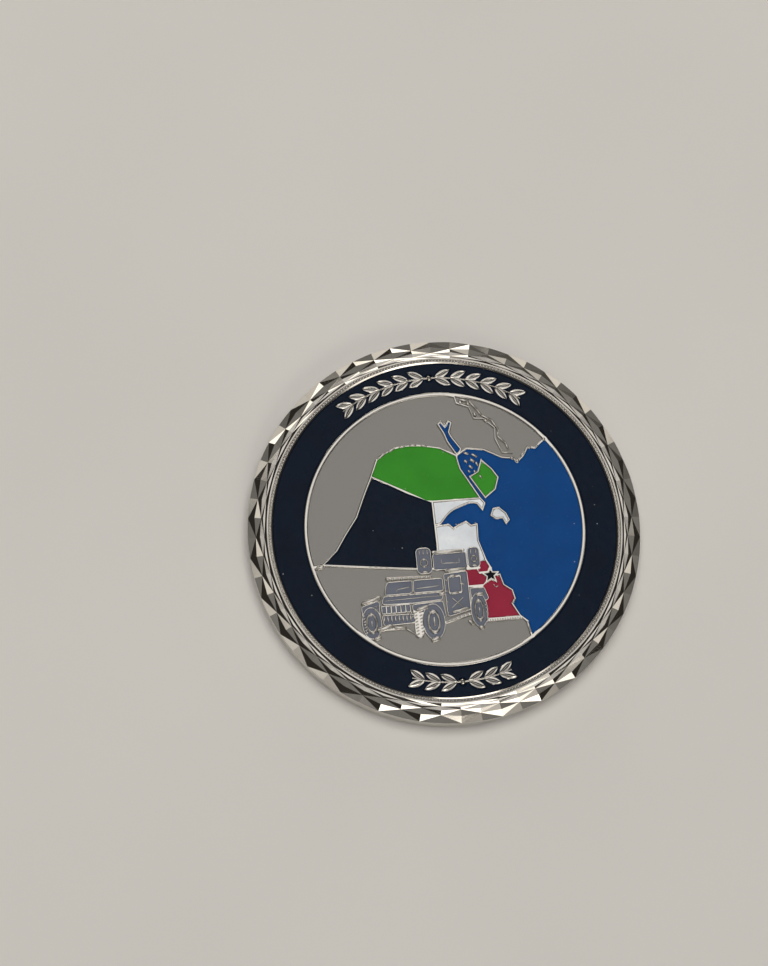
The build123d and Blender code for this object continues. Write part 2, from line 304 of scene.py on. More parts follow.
@dataclass(frozen=True)
class EnamelFinish:
    """Fired enamel: its colour, the drift in its shade, and the dust that settled on it."""

    name: str
    colour: Colour
    shade: Colour
    dust: Colour = (0.42, 0.42, 0.42)
    gloss: float = 0.16
    dulled: float = 0.14
    shine: float = 0.12
    coat: float = 0.06
    coat_roughness: float = 0.05
    unevenness: float = 0.0022
    fine_unevenness: float = 0.12
    pools: Patches = Patches(0.30, 3.0, 0.35, 0.70)
    mottle: Patches = Patches(3.2, 3.0, 0.50, 0.75, 0.30)
    dusty: Patches = Patches(0.45, 2.0, 0.50, 0.58, 0.8)
    speck_scale: float = 0.75
    speck_edge: tuple[float, float] = (0.035, 0.060)

    def make(self) -> bpy.types.Material:
        """Builds the enamel: a glossy coat over a colour that drifts, with specks and fine pits."""
        shader = Shader(self.name)
        colour = shader.blend(shader.spread(self.pools), self.colour, self.shade)
        colour = shader.blend(shader.spread(self.mottle), colour, self.shade)
        specks = shader.node("ShaderNodeTexVoronoi", {
            "Scale": 1.0, "Vector": shader.mapped([self.speck_scale] * 3)}, feature="F1")
        speck = shader.ranged(specks.outputs["Distance"], *self.speck_edge, 1.0, 0.0)
        dust = shader.sum("MULTIPLY", speck, shader.spread(self.dusty))
        rough = shader.ranged(shader.noise(1.4, 3.0), 0.30, 0.75, self.gloss, self.gloss + self.dulled)
        shader.dress({
            "Base Color": shader.blend(dust, colour, self.dust), "Roughness": rough,
            "Specular IOR Level": self.shine, "Coat Weight": self.coat,
            "Coat Roughness": self.coat_roughness, "Coat IOR": 1.5})
        shader.relief(((shader.noise(0.32, 1.0), self.unevenness),
                       (shader.noise(5.5, 2.0), self.unevenness * self.fine_unevenness)))
        return shader.material


class Metal(Enum):
    """The plated surfaces, by how the die left them, and by painted light: the facets' tone is a darker
    copy of the nickel, painted shade, and the struck face's and the relief's tones are lighter copies,
    painted highlight.
    """

    # tone darker than the rim's nickel: painted shade on the facets
    FACETS = NickelFinish("nickel_facets", (0.76, 0.73, 0.68), (0.60, 0.56, 0.50), polish=0.05,
                          haze=0.05, waviness=0.0008)
    RIM = NickelFinish("nickel_rim", polish=0.10, haze=0.10)
    # tone lighter than the rim's nickel: painted highlight on the struck face's raised lines
    STRUCK = NickelFinish("nickel_struck", (0.90, 0.87, 0.82), (0.76, 0.72, 0.66), polish=0.10,
                          haze=0.05, waviness=0.0005, ground=(0.72, 0.705, 0.685))
    # tone lighter than the rim's nickel: painted highlight on the relief
    RELIEF = NickelFinish("nickel_relief", (0.88, 0.85, 0.80), (0.72, 0.68, 0.62), polish=0.12,
                          haze=0.06, waviness=0.0016)


class Enamel(Enum):
    """The enamel colours."""

    NAVY = EnamelFinish("navy_enamel", (0.0020, 0.0075, 0.0200), (0.0013, 0.0052, 0.0145))
    BLACK = EnamelFinish("black_enamel", (0.0025, 0.0040, 0.0080), (0.0018, 0.0028, 0.0055))
    SEA = EnamelFinish("sea_blue_enamel", (0.0006, 0.058, 0.235), (0.0005, 0.049, 0.200))
    GREEN = EnamelFinish("green_enamel", (0.041, 0.285, 0.022), (0.034, 0.245, 0.018))
    WHITE = EnamelFinish("white_enamel", (0.86, 0.90, 0.94), (0.66, 0.70, 0.75),
                         dust=(0.38, 0.39, 0.41))
    RED = EnamelFinish("red_enamel", (0.320, 0.021, 0.052), (0.270, 0.017, 0.043))
    GREY = EnamelFinish("grey_enamel", (0.160, 0.175, 0.220), (0.132, 0.145, 0.184))


class Paintbox:
    """Makes each finish once and hands out its material."""

    def __init__(self) -> None:
        """Starts with no material made."""
        self.made: dict[str, bpy.types.Material] = {}

    def of(self, finish: Metal | Enamel) -> bpy.types.Material:
        """The material of a finish.

        Args:
            finish: A plated surface or an enamel colour.

        Returns:
            Its material, the same one each time.
        """
        name = finish.value.name
        if name not in self.made:
            self.made[name] = finish.value.make()
        return self.made[name]


# ---------------------------------------------------------------- meshes
class Shell:
    """The points and faces of one piece, in millimetres, before they become a mesh."""

    def __init__(self) -> None:
        """Starts empty."""
        self.points: list[Point3] = []
        self.faces: list[tuple[int, ...]] = []
        self.leans: list[tuple[Point3, ...] | None] = []

    def add_points(self, points: Iterable[Point3]) -> list[int]:
        """Adds points and returns their numbers."""
        first = len(self.points)
        self.points.extend(points)
        return list(range(first, len(self.points)))

    def add_row(self, plan: Sequence[Point2], height: float) -> list[int]:
        """Adds points at one height.

        Args:
            plan: The points in plan.
            height: Their height.

        Returns:
            The points' numbers.
        """
        return self.add_points((float(x), float(y), height) for x, y in plan)

    def plan(self, numbers: Sequence[int]) -> np.ndarray:
        """Where some of the points lie in plan."""
        return np.array([self.points[number][:2] for number in numbers])

    def add_face(self, corners: Sequence[int], leans: Sequence[Point3] | None = None) -> None:
        """Adds a face, with the normal of each corner where its shading is to be smooth."""
        self.faces.append(tuple(corners))
        self.leans.append(None if leans is None else tuple(leans))

    def add_strip(self, lower: Sequence[int], upper: Sequence[int], closed: bool = True) -> None:
        """Joins two rows of points of the same length with four-sided faces."""
        count = len(lower)
        for k in range(count if closed else count - 1):
            n = (k + 1) % count
            self.add_face((lower[k], lower[n], upper[n], upper[k]))

    def add_smooth_strip(self, first: Sequence[int], second: Sequence[int],
                         first_leans: Sequence[Point3], second_leans: Sequence[Point3]) -> None:
        """Joins two closed rows with faces that have their own normal at each corner."""
        for k in range(len(first)):
            n = (k + 1) % len(first)
            self.add_face((first[k], first[n], second[n], second[k]),
                          (first_leans[k], first_leans[n], second_leans[n], second_leans[k]))

    def move(self, place: Point2, degrees: float = 0.0) -> None:
        """Turns a shell without smooth corners about Z, then moves it in plan."""
        cos, sin = polar(1.0, degrees)
        self.points = [(place[0] + x * cos - y * sin, place[1] + x * sin + y * cos, z)
                       for x, y, z in self.points]

    def turn_over(self, thickness: float) -> None:
        """Mirrors the shell from the obverse to the reverse, and keeps its faces outwards."""
        self.points = [(x, y, thickness - z) for x, y, z in self.points]
        self.faces = [face[::-1] for face in self.faces]
        self.leans = [None if leans is None else tuple((x, y, -z) for x, y, z in leans[::-1])
                      for leans in self.leans]

    def take_in(self, other: "Shell") -> int:
        """Adds all of another shell, and returns how far its point numbers moved."""
        first = len(self.points)
        self.points.extend(other.points)
        self.faces.extend(tuple(corner + first for corner in face) for face in other.faces)
        self.leans.extend(other.leans)
        return first

    def to_mesh(self, name: str, crease: float) -> bpy.types.Mesh:
        """Makes the mesh, in metres.

        Args:
            name: The mesh's name.
            crease: Edges that turn by more degrees than this stay sharp.

        Returns:
            The mesh, shaded smooth between its sharp edges.
        """
        mesh = bpy.data.meshes.new(name)
        mesh.from_pydata([(x * MM, y * MM, z * MM) for x, y, z in self.points], [], self.faces)
        mesh.shade_smooth()
        if any(leans is not None for leans in self.leans):
            normals = [lean for face, leans in zip(self.faces, self.leans)
                       for lean in (leans or [(0.0, 0.0, 0.0)] * len(face))]
            mesh.normals_split_custom_set(normals)
        else:
            mesh.set_sharp_from_angle(angle=math.radians(crease))
        return mesh


def in_scene(name: str, data: bpy.types.ID) -> bpy.types.Object:
    """Puts a mesh, a light or a camera in the scene as an object."""
    made = bpy.data.objects.new(name, data)
    bpy.context.scene.collection.objects.link(made)
    return made


def as_object(mesh: bpy.types.Mesh, material: bpy.types.Material) -> bpy.types.Object:
    """Puts a mesh in the scene as an object of the same name, in one material."""
    mesh.materials.clear()
    mesh.materials.append(material)
    return in_scene(mesh.name, mesh)


def hand_over(piece: bpy.types.Object, slot: str, *nodes: str) -> None:
    """Attaches a finished piece to the coin's body and hides the frame nodes that it stands for.

    Args:
        piece: The finished piece.
        slot: Not used.
        nodes: The frame nodes that it replaces.
    """
    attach(piece, BODY)
    if nodes:
        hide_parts(*nodes)
    triangles = sum(len(face.vertices) - 2 for face in piece.data.polygons)
    log.info("%s: %d triangles, for %s", piece.name, triangles, ", ".join(nodes) or "no node")


def plated(shell: Shell, name: str, crease: float, finish: Metal, paints: Paintbox) -> None:
    """Makes a plated piece from a shell and hands it over as part of the blank.

    Args:
        shell: The piece's points and faces.
        name: The piece's name.
        crease: Edges that turn by more degrees than this stay sharp.
        finish: How the die left it.
        paints: The finishes.
    """
    hand_over(as_object(shell.to_mesh(name, crease), paints.of(finish)), PLATE, BLANK)


def half_round(half: float, base: float, crown: float, depth: float, steps: int = 6) -> list[Point2]:
    """The section of a round-topped line, from one foot over the top to the other.

    Args:
        half: Half the line's width.
        base: Height of its feet.
        crown: Height of its crown.
        depth: How far below the crown the round top starts.
        steps: Divisions of the round top.

    Returns:
        Each point's distance across the line and its height.
    """
    arc = [polar(1.0, 180.0 / steps * k) for k in range(steps + 1)]
    return [(half, base), *((across * half, crown - depth * (1 - lift)) for across, lift in arc),
            (-half, base)]


def boss(coin: CoinSizes, radius: float, crown_drop: float, length: float = 0.0,
         base_drop: float = 0.55, spokes: int = 24, rings: int = 5, flat: float = 0.0,
         skirt: float = 0.01, least_flat: float = 0.06) -> Shell:
    """A domed boss, or a round-ended bar along X where it has a length, centred on the origin.

    Args:
        coin: The coin's sizes.
        radius: The boss's radius, or half the bar's width.
        crown_drop: How far its crown lies below the rim.
        length: Distance between the centres of the bar's two round ends.
        base_drop: How far its base lies below the rim.
        spokes: Points round it.
        rings: Rings from its shoulder to its crown.
        flat: Share of the radius that is a flat top.
        skirt: How far its base stands out past its shoulder.
        least_flat: The flat top takes up at least this share of the radius.

    Returns:
        The boss's closed shell.
    """
    shell = Shell()
    base, crown = coin.thickness - base_drop, coin.thickness - crown_drop
    shoulder = max(base, crown - radius * (1 - flat))
    turns = [360.0 * (k + 0.5) / spokes for k in range(spokes)]

    def row(size: float, height: float) -> list[int]:
        """One level of the boss."""
        plan = [polar(size, turn) for turn in turns]
        return shell.add_row([(x + math.copysign(length / 2, x), y) for x, y in plan], height)

    rows = [row(radius + skirt, base)]
    for ring in range(rings):
        share, lift = polar(1.0, 90.0 * ring / rings)
        rows.append(row(radius * (flat + (1 - flat) * share), shoulder + (crown - shoulder) * lift))
    rows.append(row(radius * max(flat, least_flat), crown))
    for lower, upper in zip(rows, rows[1:]):
        shell.add_strip(lower, upper)
    shell.add_face(rows[-1])
    shell.add_face(rows[0][::-1])
    return shell


def revolved(name: str, profile: Sequence[Point2], steps: int, crease: float = 30.0) -> bpy.types.Mesh:
    """A closed ring turned about the coin's axis.

    Args:
        name: The mesh's name.
        profile: Radius and height of the section's points, anticlockwise with X outwards.
        steps: How many flats the ring has.
        crease: Edges that turn by more degrees than this stay sharp.

    Returns:
        The ring's mesh.
    """
    shell = Shell()
    rows = [shell.add_row([polar(radius, 360.0 * k / steps) for k in range(steps)], height)
            for radius, height in profile]
    for lower, upper in zip(rows, rows[1:] + rows[:1]):
        shell.add_strip(lower, upper)
    return shell.to_mesh(name, crease)


# ---------------------------------------------------------------- geometry nodes
class Recipe(NodeWork):
    """A geometry node tree with named inputs, built node by node."""

    def __init__(self, name: str) -> None:
        """Starts a tree that takes a mesh and gives one back.

        Args:
            name: The tree's name.
        """
        super().__init__(bpy.data.node_groups.new(name, "GeometryNodeTree"))
        self.sockets: dict[str, str] = {}
        self.start = self.tree.nodes.new("NodeGroupInput")
        self.named("Geometry", "NodeSocketGeometry")
        self.tree.interface.new_socket("Geometry", in_out="OUTPUT", socket_type="NodeSocketGeometry")

    def named(self, name: str, kind: str) -> bpy.types.NodeSocket:
        """Adds a named input and returns its socket."""
        made = self.tree.interface.new_socket(name, in_out="INPUT", socket_type=kind)
        self.sockets[name] = made.identifier
        return self.start.outputs[name]

    def number(self, name: str) -> bpy.types.NodeSocket:
        """Adds a named number."""
        return self.named(name, "NodeSocketFloat")

    def copies(self, count: bpy.types.NodeSocket, across: bpy.types.NodeSocket,
               along: bpy.types.NodeSocket, turn: bpy.types.NodeSocket) -> bpy.types.NodeSocket:
        """Copies of the tree's own mesh, set in plan.

        Args:
            count: How many copies.
            across: Each copy's X.
            along: Each copy's Y.
            turn: Angle that each copy is turned by.

        Returns:
            The copies' geometry, as instances.
        """
        points = self.node("GeometryNodePoints", {"Count": count})
        spot = self.node("ShaderNodeCombineXYZ", {"X": across, "Y": along})
        moved = self.node("GeometryNodeSetPosition", {
            "Geometry": points.outputs[0], "Position": spot.outputs[0]})
        facing = self.node("ShaderNodeCombineXYZ", {"Z": turn})
        made = self.node("GeometryNodeInstanceOnPoints", {
            "Points": moved.outputs[0], "Instance": self.start.outputs["Geometry"],
            "Rotation": facing.outputs[0]})
        return made.outputs[0]

    def ring_of(self, count: bpy.types.NodeSocket, radius: object,
                place: bpy.types.NodeSocket, turn: bpy.types.NodeSocket) -> bpy.types.NodeSocket:
        """Copies at one distance from the coin's axis, each at its own angle `place` round it."""
        across = self.sum("MULTIPLY", radius, self.sum("COSINE", place))
        along = self.sum("MULTIPLY", radius, self.sum("SINE", place))
        return self.copies(count, across, along, turn)

    def finish(self, geometry: bpy.types.NodeSocket, weld: float = 0.0) -> None:
        """Ends the tree: real geometry, welded where pieces meet, in the given material.

        Args:
            geometry: The instances to end with.
            weld: Points nearer than this many millimetres are joined.
        """
        material = self.named("Material", "NodeSocketMaterial")
        real = self.node("GeometryNodeRealizeInstances", {"Geometry": geometry}).outputs[0]
        if weld:
            real = self.node("GeometryNodeMergeByDistance", {
                "Geometry": real, "Distance": weld * MM}).outputs[0]
        dressed = self.node("GeometryNodeSetMaterial", {"Geometry": real, "Material": material})
        self.node("NodeGroupOutput", {0: dressed.outputs[0]})

    def bake(self, seed: bpy.types.Mesh, material: bpy.types.Material, name: str, crease: float,
             **values: float) -> bpy.types.Object:
        """Runs the tree on a mesh and keeps the result as a plain object.

        Args:
            seed: The mesh that the tree repeats.
            material: The result's material.
            name: The result's name.
            crease: Edges that turn by more degrees than this stay sharp.
            values: The tree's named inputs.

        Returns:
            The finished object, with no modifier left.
        """
        carrier = in_scene(name + "_seed", seed)
        modifier = carrier.modifiers.new(self.tree.name, "NODES")
        modifier.node_group = self.tree
        modifier[self.sockets["Material"]] = material
        for key, value in values.items():
            modifier[self.sockets[key]] = value
        bpy.context.view_layer.update()
        evaluated = carrier.evaluated_get(bpy.context.evaluated_depsgraph_get())
        mesh = bpy.data.meshes.new_from_object(evaluated)
        bpy.data.objects.remove(carrier)
        mesh.name = name
        mesh.shade_smooth()
        mesh.set_sharp_from_angle(angle=math.radians(crease))
        return as_object(mesh, material)


def ring_recipe(name: str, weld: float = 0.0) -> Recipe:
    """A recipe that repeats its mesh evenly round the axis, each copy turned to face outwards.

    Args:
        name: The tree's name.
        weld: Points nearer than this many millimetres are joined.

    Returns:
        The recipe, with inputs Count, Radius and First.
    """
    recipe = Recipe(name)
    count = recipe.named("Count", "NodeSocketInt")
    radius = recipe.number("Radius")
    first = recipe.number("First")
    index = recipe.node("GeometryNodeInputIndex").outputs[0]
    step = recipe.sum("DIVIDE", math.tau, count)
    place = recipe.sum("ADD", first, recipe.sum("MULTIPLY", index, step))
    recipe.finish(recipe.ring_of(count, radius, place, place), weld)
    return recipe


def row_recipe(name: str) -> Recipe:
    """A recipe that repeats its mesh along a straight line, each copy turned alike.

    Args:
        name: The tree's name.

    Returns:
        The recipe, with inputs Count, FromX, FromY, ToX, ToY and Turn.
    """
    recipe = Recipe(name)
    count = recipe.named("Count", "NodeSocketInt")
    ends = {key: recipe.number(key) for key in ("FromX", "FromY", "ToX", "ToY")}
    turn = recipe.number("Turn")
    index = recipe.node("GeometryNodeInputIndex").outputs[0]
    share = recipe.sum("DIVIDE", index, recipe.sum("SUBTRACT", count, 1.0))
    place = []
    for axis in "XY":
        start, end = ends[f"From{axis}"], ends[f"To{axis}"]
        way = recipe.sum("MULTIPLY", share, recipe.sum("SUBTRACT", end, start))
        place.append(recipe.sum("ADD", start, way))
    recipe.finish(recipe.copies(count, *place, turn))
    return recipe


def ringed(shell: Shell, name: str, crease: float, count: int, radius: float, paints: Paintbox) -> None:
    """Repeats a shell evenly round the axis as one raised piece of the blank.

    Args:
        shell: The shape to repeat, at the origin and pointing outwards along X.
        name: The piece's name.
        crease: Edges that turn by more degrees than this stay sharp.
        count: How many copies.
        radius: Their distance from the axis.
        paints: The finishes.
    """
    piece = ring_recipe(f"{name}_ring").bake(shell.to_mesh(f"{name}_one", crease),
                                             paints.of(Metal.RELIEF), name, crease,
                                             Count=count, Radius=radius * MM, First=0.0)
    hand_over(piece, PLATE, BLANK)


# ---------------------------------------------------------------- faceted band
@dataclass
class FacetedBand:
    """The diamond-cut band: crossing cuts leave rows of low pyramids round the coin's edge."""

    coin: CoinSizes
    count: int = 30
    phase: float = 4.5
    top_drop: float = 0.14
    edge_drop: float = 0.64
    rises: dict[int, float] = field(default_factory=lambda: {2: 0.06, 3: 0.16, 4: 0.25, 5: 0.20})
    arc_steps: int = 6

    @property
    def step(self) -> float:
        """Degrees from one cut to the next."""
        return 360.0 / self.count

    @property
    def cut_radius(self) -> float:
        """Radius of the circle that every cut touches."""
        return self.coin.radius * math.cos(math.radians(2 * self.step))

    def slope(self, radius: float) -> float:
        """Height of the band's general slope."""
        share = (radius - self.cut_radius) / (self.coin.radius - self.cut_radius)
        return self.coin.thickness - self.top_drop - share * (self.edge_drop - self.top_drop)

    def ring_radius(self, ring: int) -> float:
        """Radius at which a cut crosses the one that lies `ring` places round."""
        return self.cut_radius / math.cos(math.radians(ring * self.step / 2))

    def angle(self, ring: int, index: int) -> float:
        """Angle of a crossing. The odd rings stand half a step on."""
        return self.phase + (index + ring % 2 / 2) * self.step

    def crossing(self, ring: int, index: int) -> Vector:
        """A valley point, where two cuts cross."""
        radius = self.ring_radius(ring)
        return Vector((*polar(radius, self.angle(ring, index)), self.slope(radius)))

    def peak(self, ring: int, index: int) -> Vector:
        """The tip of a pyramid."""
        radius = (self.ring_radius(ring) + self.ring_radius(ring - 2)) / 2
        return Vector((*polar(radius, self.angle(ring, index)), self.slope(radius) + self.rises[ring]))

    def on_edge(self, corner: Vector, inner: Vector, top: Vector, degrees: float) -> Vector:
        """The point of a facet's plane that stands on the coin's edge at an angle."""
        normal = (inner - corner).cross(top - corner)
        x, y = polar(self.coin.radius, degrees)
        across = normal.x * (x - corner.x) + normal.y * (y - corner.y)
        return Vector((x, y, corner.z - across / normal.z))

    def edge_facet(self, corner: Vector, inner: Vector, top: Vector,
                   start: float, end: float) -> list[Vector]:
        """An outermost facet, ended by the arc that it makes with the coin's edge.

        Args:
            corner: The crossing on the edge.
            inner: The crossing at the pyramid's inner corner.
            top: The pyramid's tip, outside the edge.
            start: Angle of the corner.
            end: Angle of the ridge.

        Returns:
            The facet's points, from the corner along the edge to the ridge, then the inner corner.
        """
        arc = [corner]
        for k in range(1, self.arc_steps + 1):
            arc.append(self.on_edge(corner, inner, top, start + (end - start) * k / self.arc_steps))
        return arc + [inner]

    def edge_pair(self) -> tuple[list[Vector], list[Vector]]:
        """The two outermost facets of one step, which meet at the ridge that runs out over the edge."""
        inner, top, ridge = self.crossing(3, 0), self.peak(5, 0), self.angle(5, 0)
        west, east = (self.edge_facet(self.crossing(4, index), inner, top, self.angle(4, index), ridge)
                      for index in (0, 1))
        return west, east

    def facets(self) -> Iterator[list[Vector]]:
        """The facets of one step of the band, anticlockwise from above."""
        for ring in range(2, 5):
            first = ring % 2 - 1
            west, east = self.crossing(ring - 1, first), self.crossing(ring - 1, first + 1)
            inner, outer, top = self.crossing(ring - 2, 0), self.crossing(ring, 0), self.peak(ring, 0)
            yield from ([inner, east, top], [east, outer, top], [outer, west, top], [west, inner, top])
        west_edge, east_edge = self.edge_pair()
        yield west_edge[::-1]
        yield east_edge
        for here, there in (((0, 0), (1, 0)), ((1, 0), (0, 1))):
            low, low_next = self.crossing(*here), self.crossing(*there)
            high, high_next = (
                Vector((*polar(self.coin.rim_outer, self.angle(*place)), self.coin.thickness))
                for place in (here, there))
            yield [low, low_next, high]
            yield [low_next, high_next, high]

    def edge_line(self) -> list[Vector]:
        """The top line of the coin's edge over one step, in order."""
        west_edge, east_edge = self.edge_pair()
        return west_edge[:-1] + east_edge[:-1][-2::-1]

    def sector(self) -> bpy.types.Mesh:
        """One step of the band: facets above and below, the edge between, and the inner wall."""
        shell = Shell()
        for facet in self.facets():
            normal = (facet[1] - facet[0]).cross(facet[2] - facet[0])
            corners = shell.add_points(tuple(point) for point in facet)
            shell.add_face(corners if normal.z > 0 else corners[::-1])
        below = Shell()
        below.take_in(shell)
        below.turn_over(self.coin.thickness)
        shell.take_in(below)
        line = self.edge_line()
        middle = self.coin.thickness / 2
        top = shell.add_points((point.x, point.y, point.z) for point in line)
        belt = shell.add_row([(point.x, point.y) for point in line], middle)
        bottom = shell.add_points((point.x, point.y, self.coin.thickness - point.z) for point in line)
        shell.add_strip(belt, top, closed=False)
        shell.add_strip(bottom, belt, closed=False)
        wall = [polar(self.coin.rim_outer, self.angle(ring, index))
                for ring, index in ((0, 0), (1, 0), (0, 1))]
        shell.add_strip(shell.add_row(wall, self.coin.thickness), shell.add_row(wall, 0.0), closed=False)
        return shell.to_mesh("band_step", FACET_CREASE)

    def build(self, paints: Paintbox) -> None:
        """Repeats the step round the coin and welds the copies into one closed band."""
        recipe = ring_recipe("faceted_band_steps", weld=0.0005)
        piece = recipe.bake(self.sector(), paints.of(Metal.FACETS), "faceted_band", FACET_CREASE,
                            Count=self.count, Radius=0.0, First=0.0)
        hand_over(piece, PLATE, BLANK)


# ---------------------------------------------------------------- plain rim and its pearls
@dataclass
class PlainRim:
    """The plain rim between the facets and the border, with pearls in a groove on both faces."""

    coin: CoinSizes
    bevel: float = 0.16
    bevel_drop: float = 0.11
    groove_outer: float = 19.95
    groove_inner: float = 19.62
    groove_depth: float = 0.085
    groove_slant: float = 0.4
    steps: int = 360
    pearl_count: int = 330
    pearl_width: float = 0.27
    pearl_share: float = 0.47
    pearl_drop: float = 0.008

    def face_profile(self) -> list[Point2]:
        """Radius and drop along the obverse, from the outside in."""
        outer, inner = self.groove_outer, self.groove_inner
        slant = self.groove_depth * self.groove_slant
        return [(self.coin.rim_outer, 0.0), (outer, 0.0), (outer - slant, self.groove_depth),
                (inner + slant, self.groove_depth), (inner, 0.0),
                (self.coin.rim_inner + self.bevel, 0.0), (self.coin.rim_inner, self.bevel_drop)]

    def build(self, paints: Paintbox) -> None:
        """Turns the rim and sets the pearls along both grooves."""
        under = self.face_profile()
        above = [(radius, self.coin.thickness - drop) for radius, drop in under]
        rim = revolved("plain_rim", above + under[::-1], self.steps, 20.0)
        hand_over(as_object(rim, paints.of(Metal.RIM)), PLATE, BLANK)
        middle = (self.groove_outer + self.groove_inner) / 2
        pitch = math.tau * middle / self.pearl_count
        radius = pitch * self.pearl_share
        pearl, opposite = (
            boss(self.coin, radius, self.pearl_drop, length=self.pearl_width - radius * 2,
                 base_drop=self.groove_depth, spokes=10, rings=3, flat=0.45) for _ in Side)
        opposite.turn_over(self.coin.thickness)
        pearl.take_in(opposite)
        ringed(pearl, "rim_pearling", TRIM_CREASE, self.pearl_count, middle, paints)


# ---------------------------------------------------------------- outlines of the relief
@dataclass
class Outline:
    """A closed line in plan, with the raised side, or the enamel, on its left."""

    points: np.ndarray
    ground_drop: float

    @property
    def mean_radius(self) -> float:
        """Mean distance of the outline from the coin's axis."""
        return float(np.hypot(self.points[:, 0], self.points[:, 1]).mean())


class OutlineReader:
    """Reads the outlines of a level from a frame node, and softens their arcs."""

    def __init__(self, coin: CoinSizes, weld: float = 0.001, level_play: float = 0.004,
                 shortest: float = 0.012, longest_arc: float = 0.22, gentle: float = 40.0,
                 rounds: int = 3) -> None:
        """Sets the reader's tolerances, in millimetres.

        Args:
            coin: The coin's sizes.
            weld: Points nearer than this are one.
            level_play: How far a face's points may lie from its level.
            shortest: Outline edges shorter than this are dropped.
            longest_arc: Curved stretches are divided until their edges are shorter than this.
            gentle: Sharper turns than this, in degrees, are corners and not curves.
            rounds: The most times that a curved stretch is divided.
        """
        self.coin = coin
        self.weld = weld
        self.level_play = level_play
        self.shortest = shortest
        self.longest_arc = longest_arc
        self.gentle = gentle
        self.rounds = rounds

    def read(self, node: str, drop: float, side: Side) -> list[Outline]:
        """Reads every outline of one flat level.

        Args:
            node: The frame node.
            drop: The level, below the face's rim.
            side: The face of the coin.

        Returns:
            The outlines, seen from above the coin, with the level's faces on their left.
        """
        work = bmesh.new()
        work.from_mesh(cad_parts[node].data)
        bmesh.ops.remove_doubles(work, verts=work.verts, dist=self.weld * MM)
        level = self.coin.height(drop, side) * MM
        flat = {face for face in work.faces if face.normal.z * side.value > 0.99
                and all(abs(vert.co.z - level) < self.level_play * MM for vert in face.verts)}
        ways: dict[int, list[tuple[int, float]]] = {}
        for face in flat:
            for loop in face.loops:
                walls = [other for other in loop.edge.link_faces if other not in flat]
                if not walls:
                    continue
                start, end = loop.vert, loop.link_loop_next.vert
                if side is Side.REVERSE:
                    start, end = end, start
                ground = max(abs(self.coin.height(0.0, side) - vert.co.z / MM)
                             for wall in walls for vert in wall.verts)
                ways.setdefault(start.index, []).append((end.index, ground))
        work.verts.ensure_lookup_table()
        places = np.array([vert.co[:2] for vert in work.verts]) / MM
        work.free()
        return [self.softened(outline) for outline in self.chained(ways, places)]

    @staticmethod
    def chained(ways: dict[int, list[tuple[int, float]]], places: np.ndarray) -> Iterator[Outline]:
        """Joins single edges end to end into closed outlines."""
        for start in sorted(ways):
            while ways.get(start):
                here, loop, grounds = start, [], []
                while ways.get(here):
                    loop.append(here)
                    here, ground = ways[here].pop()
                    grounds.append(ground)
                yield Outline(places[loop], float(np.median(grounds)))

    def softened(self, outline: Outline) -> Outline:
        """Drops very short edges and divides the edges of curved stretches.

        An edge counts as curved where the line turns gently, by three degrees or more and the same
        way, at both its ends.
        Its new middle point lies on the smooth curve through the four points round it.
        """
        points = outline.points
        lengths = np.linalg.norm(np.roll(points, -1, 0) - points, axis=1)
        points = points[lengths > self.shortest]
        for _ in range(self.rounds):
            ahead = np.roll(points, -1, 0) - points
            length = np.linalg.norm(ahead, axis=1)
            heading = np.arctan2(ahead[:, 1], ahead[:, 0])
            turn = np.degrees((heading - np.roll(heading, 1) + math.pi) % math.tau - math.pi)
            after = np.roll(turn, -1)
            gentle = (np.abs(turn) < self.gentle) & (np.abs(after) < self.gentle)
            curved = gentle & (turn * after > 3.0 ** 2)
            near = np.minimum(np.roll(length, 1), np.roll(length, -1)) > length / 3
            divided = curved & near & (length > self.longest_arc)
            if not divided.any():
                break
            before, last = np.roll(points, 1, 0), np.roll(points, -2, 0)
            middle = (points + np.roll(points, -1, 0)) * 9 / 16 - (before + last) / 16
            grown: list[np.ndarray] = []
            for k, point in enumerate(points):
                grown.append(point)
                if divided[k]:
                    grown.append(middle[k])
            points = np.array(grown)
        return Outline(points, outline.ground_drop)


class Clearance:
    """Finds how far each point of an outline can move before it meets another line.

    A move is tried up to TRIES times. It fits when nothing lies within ROOM times its reach, which
    is MARGIN times the move, and each time that it doesn't, it is multiplied by SHORTEN.
    """

    TRIES = 7
    MARGIN = 1.2
    ROOM = 0.9
    SHORTEN = 0.7
    UNCROSS_ROUNDS = 5

    def __init__(self, outlines: Sequence[Outline], pitch: float = 0.035) -> None:
        """Samples the outlines.

        Args:
            outlines: All the outlines of one face or piece.
            pitch: Distance between samples along each line.
        """
        samples: list[Point2] = []
        for outline in outlines:
            ends = np.roll(outline.points, -1, 0)
            for start, end in zip(outline.points, ends):
                count = max(1, int(np.linalg.norm(end - start) / pitch))
                samples.extend(tuple(start + (end - start) * k / count) for k in range(count))
        self.tree = kdtree.KDTree(len(samples))
        for number, (x, y) in enumerate(samples):
            self.tree.insert((x, y, 0.0), number)
        self.tree.balance()

    def moved(self, outline: Outline, distance: float, ways: np.ndarray) -> np.ndarray:
        """How much of a distance each point can take.

        Args:
            outline: The outline to move.
            distance: The distance wanted.
            ways: The direction of each point's move, with its length at a corner.

        Returns:
            The distance that each point may move, along its own way.
        """
        allowed = np.full(len(outline.points), distance)
        for k, (point, way) in enumerate(zip(outline.points, ways)):
            for _ in range(self.TRIES):
                reach = allowed[k] * self.MARGIN
                place = point + way * reach
                found = self.tree.find((place[0], place[1], 0.0))[2]
                if found >= reach * self.ROOM:
                    break
                allowed[k] *= self.SHORTEN
        ahead = np.roll(outline.points, -1, 0) - outline.points
        for _ in range(self.UNCROSS_ROUNDS):
            place = outline.points + ways * allowed[:, None]
            crossed = ((np.roll(place, -1, 0) - place) * ahead).sum(axis=1) <= 0
            allowed[crossed | np.roll(crossed, 1)] *= 0.5
        return allowed


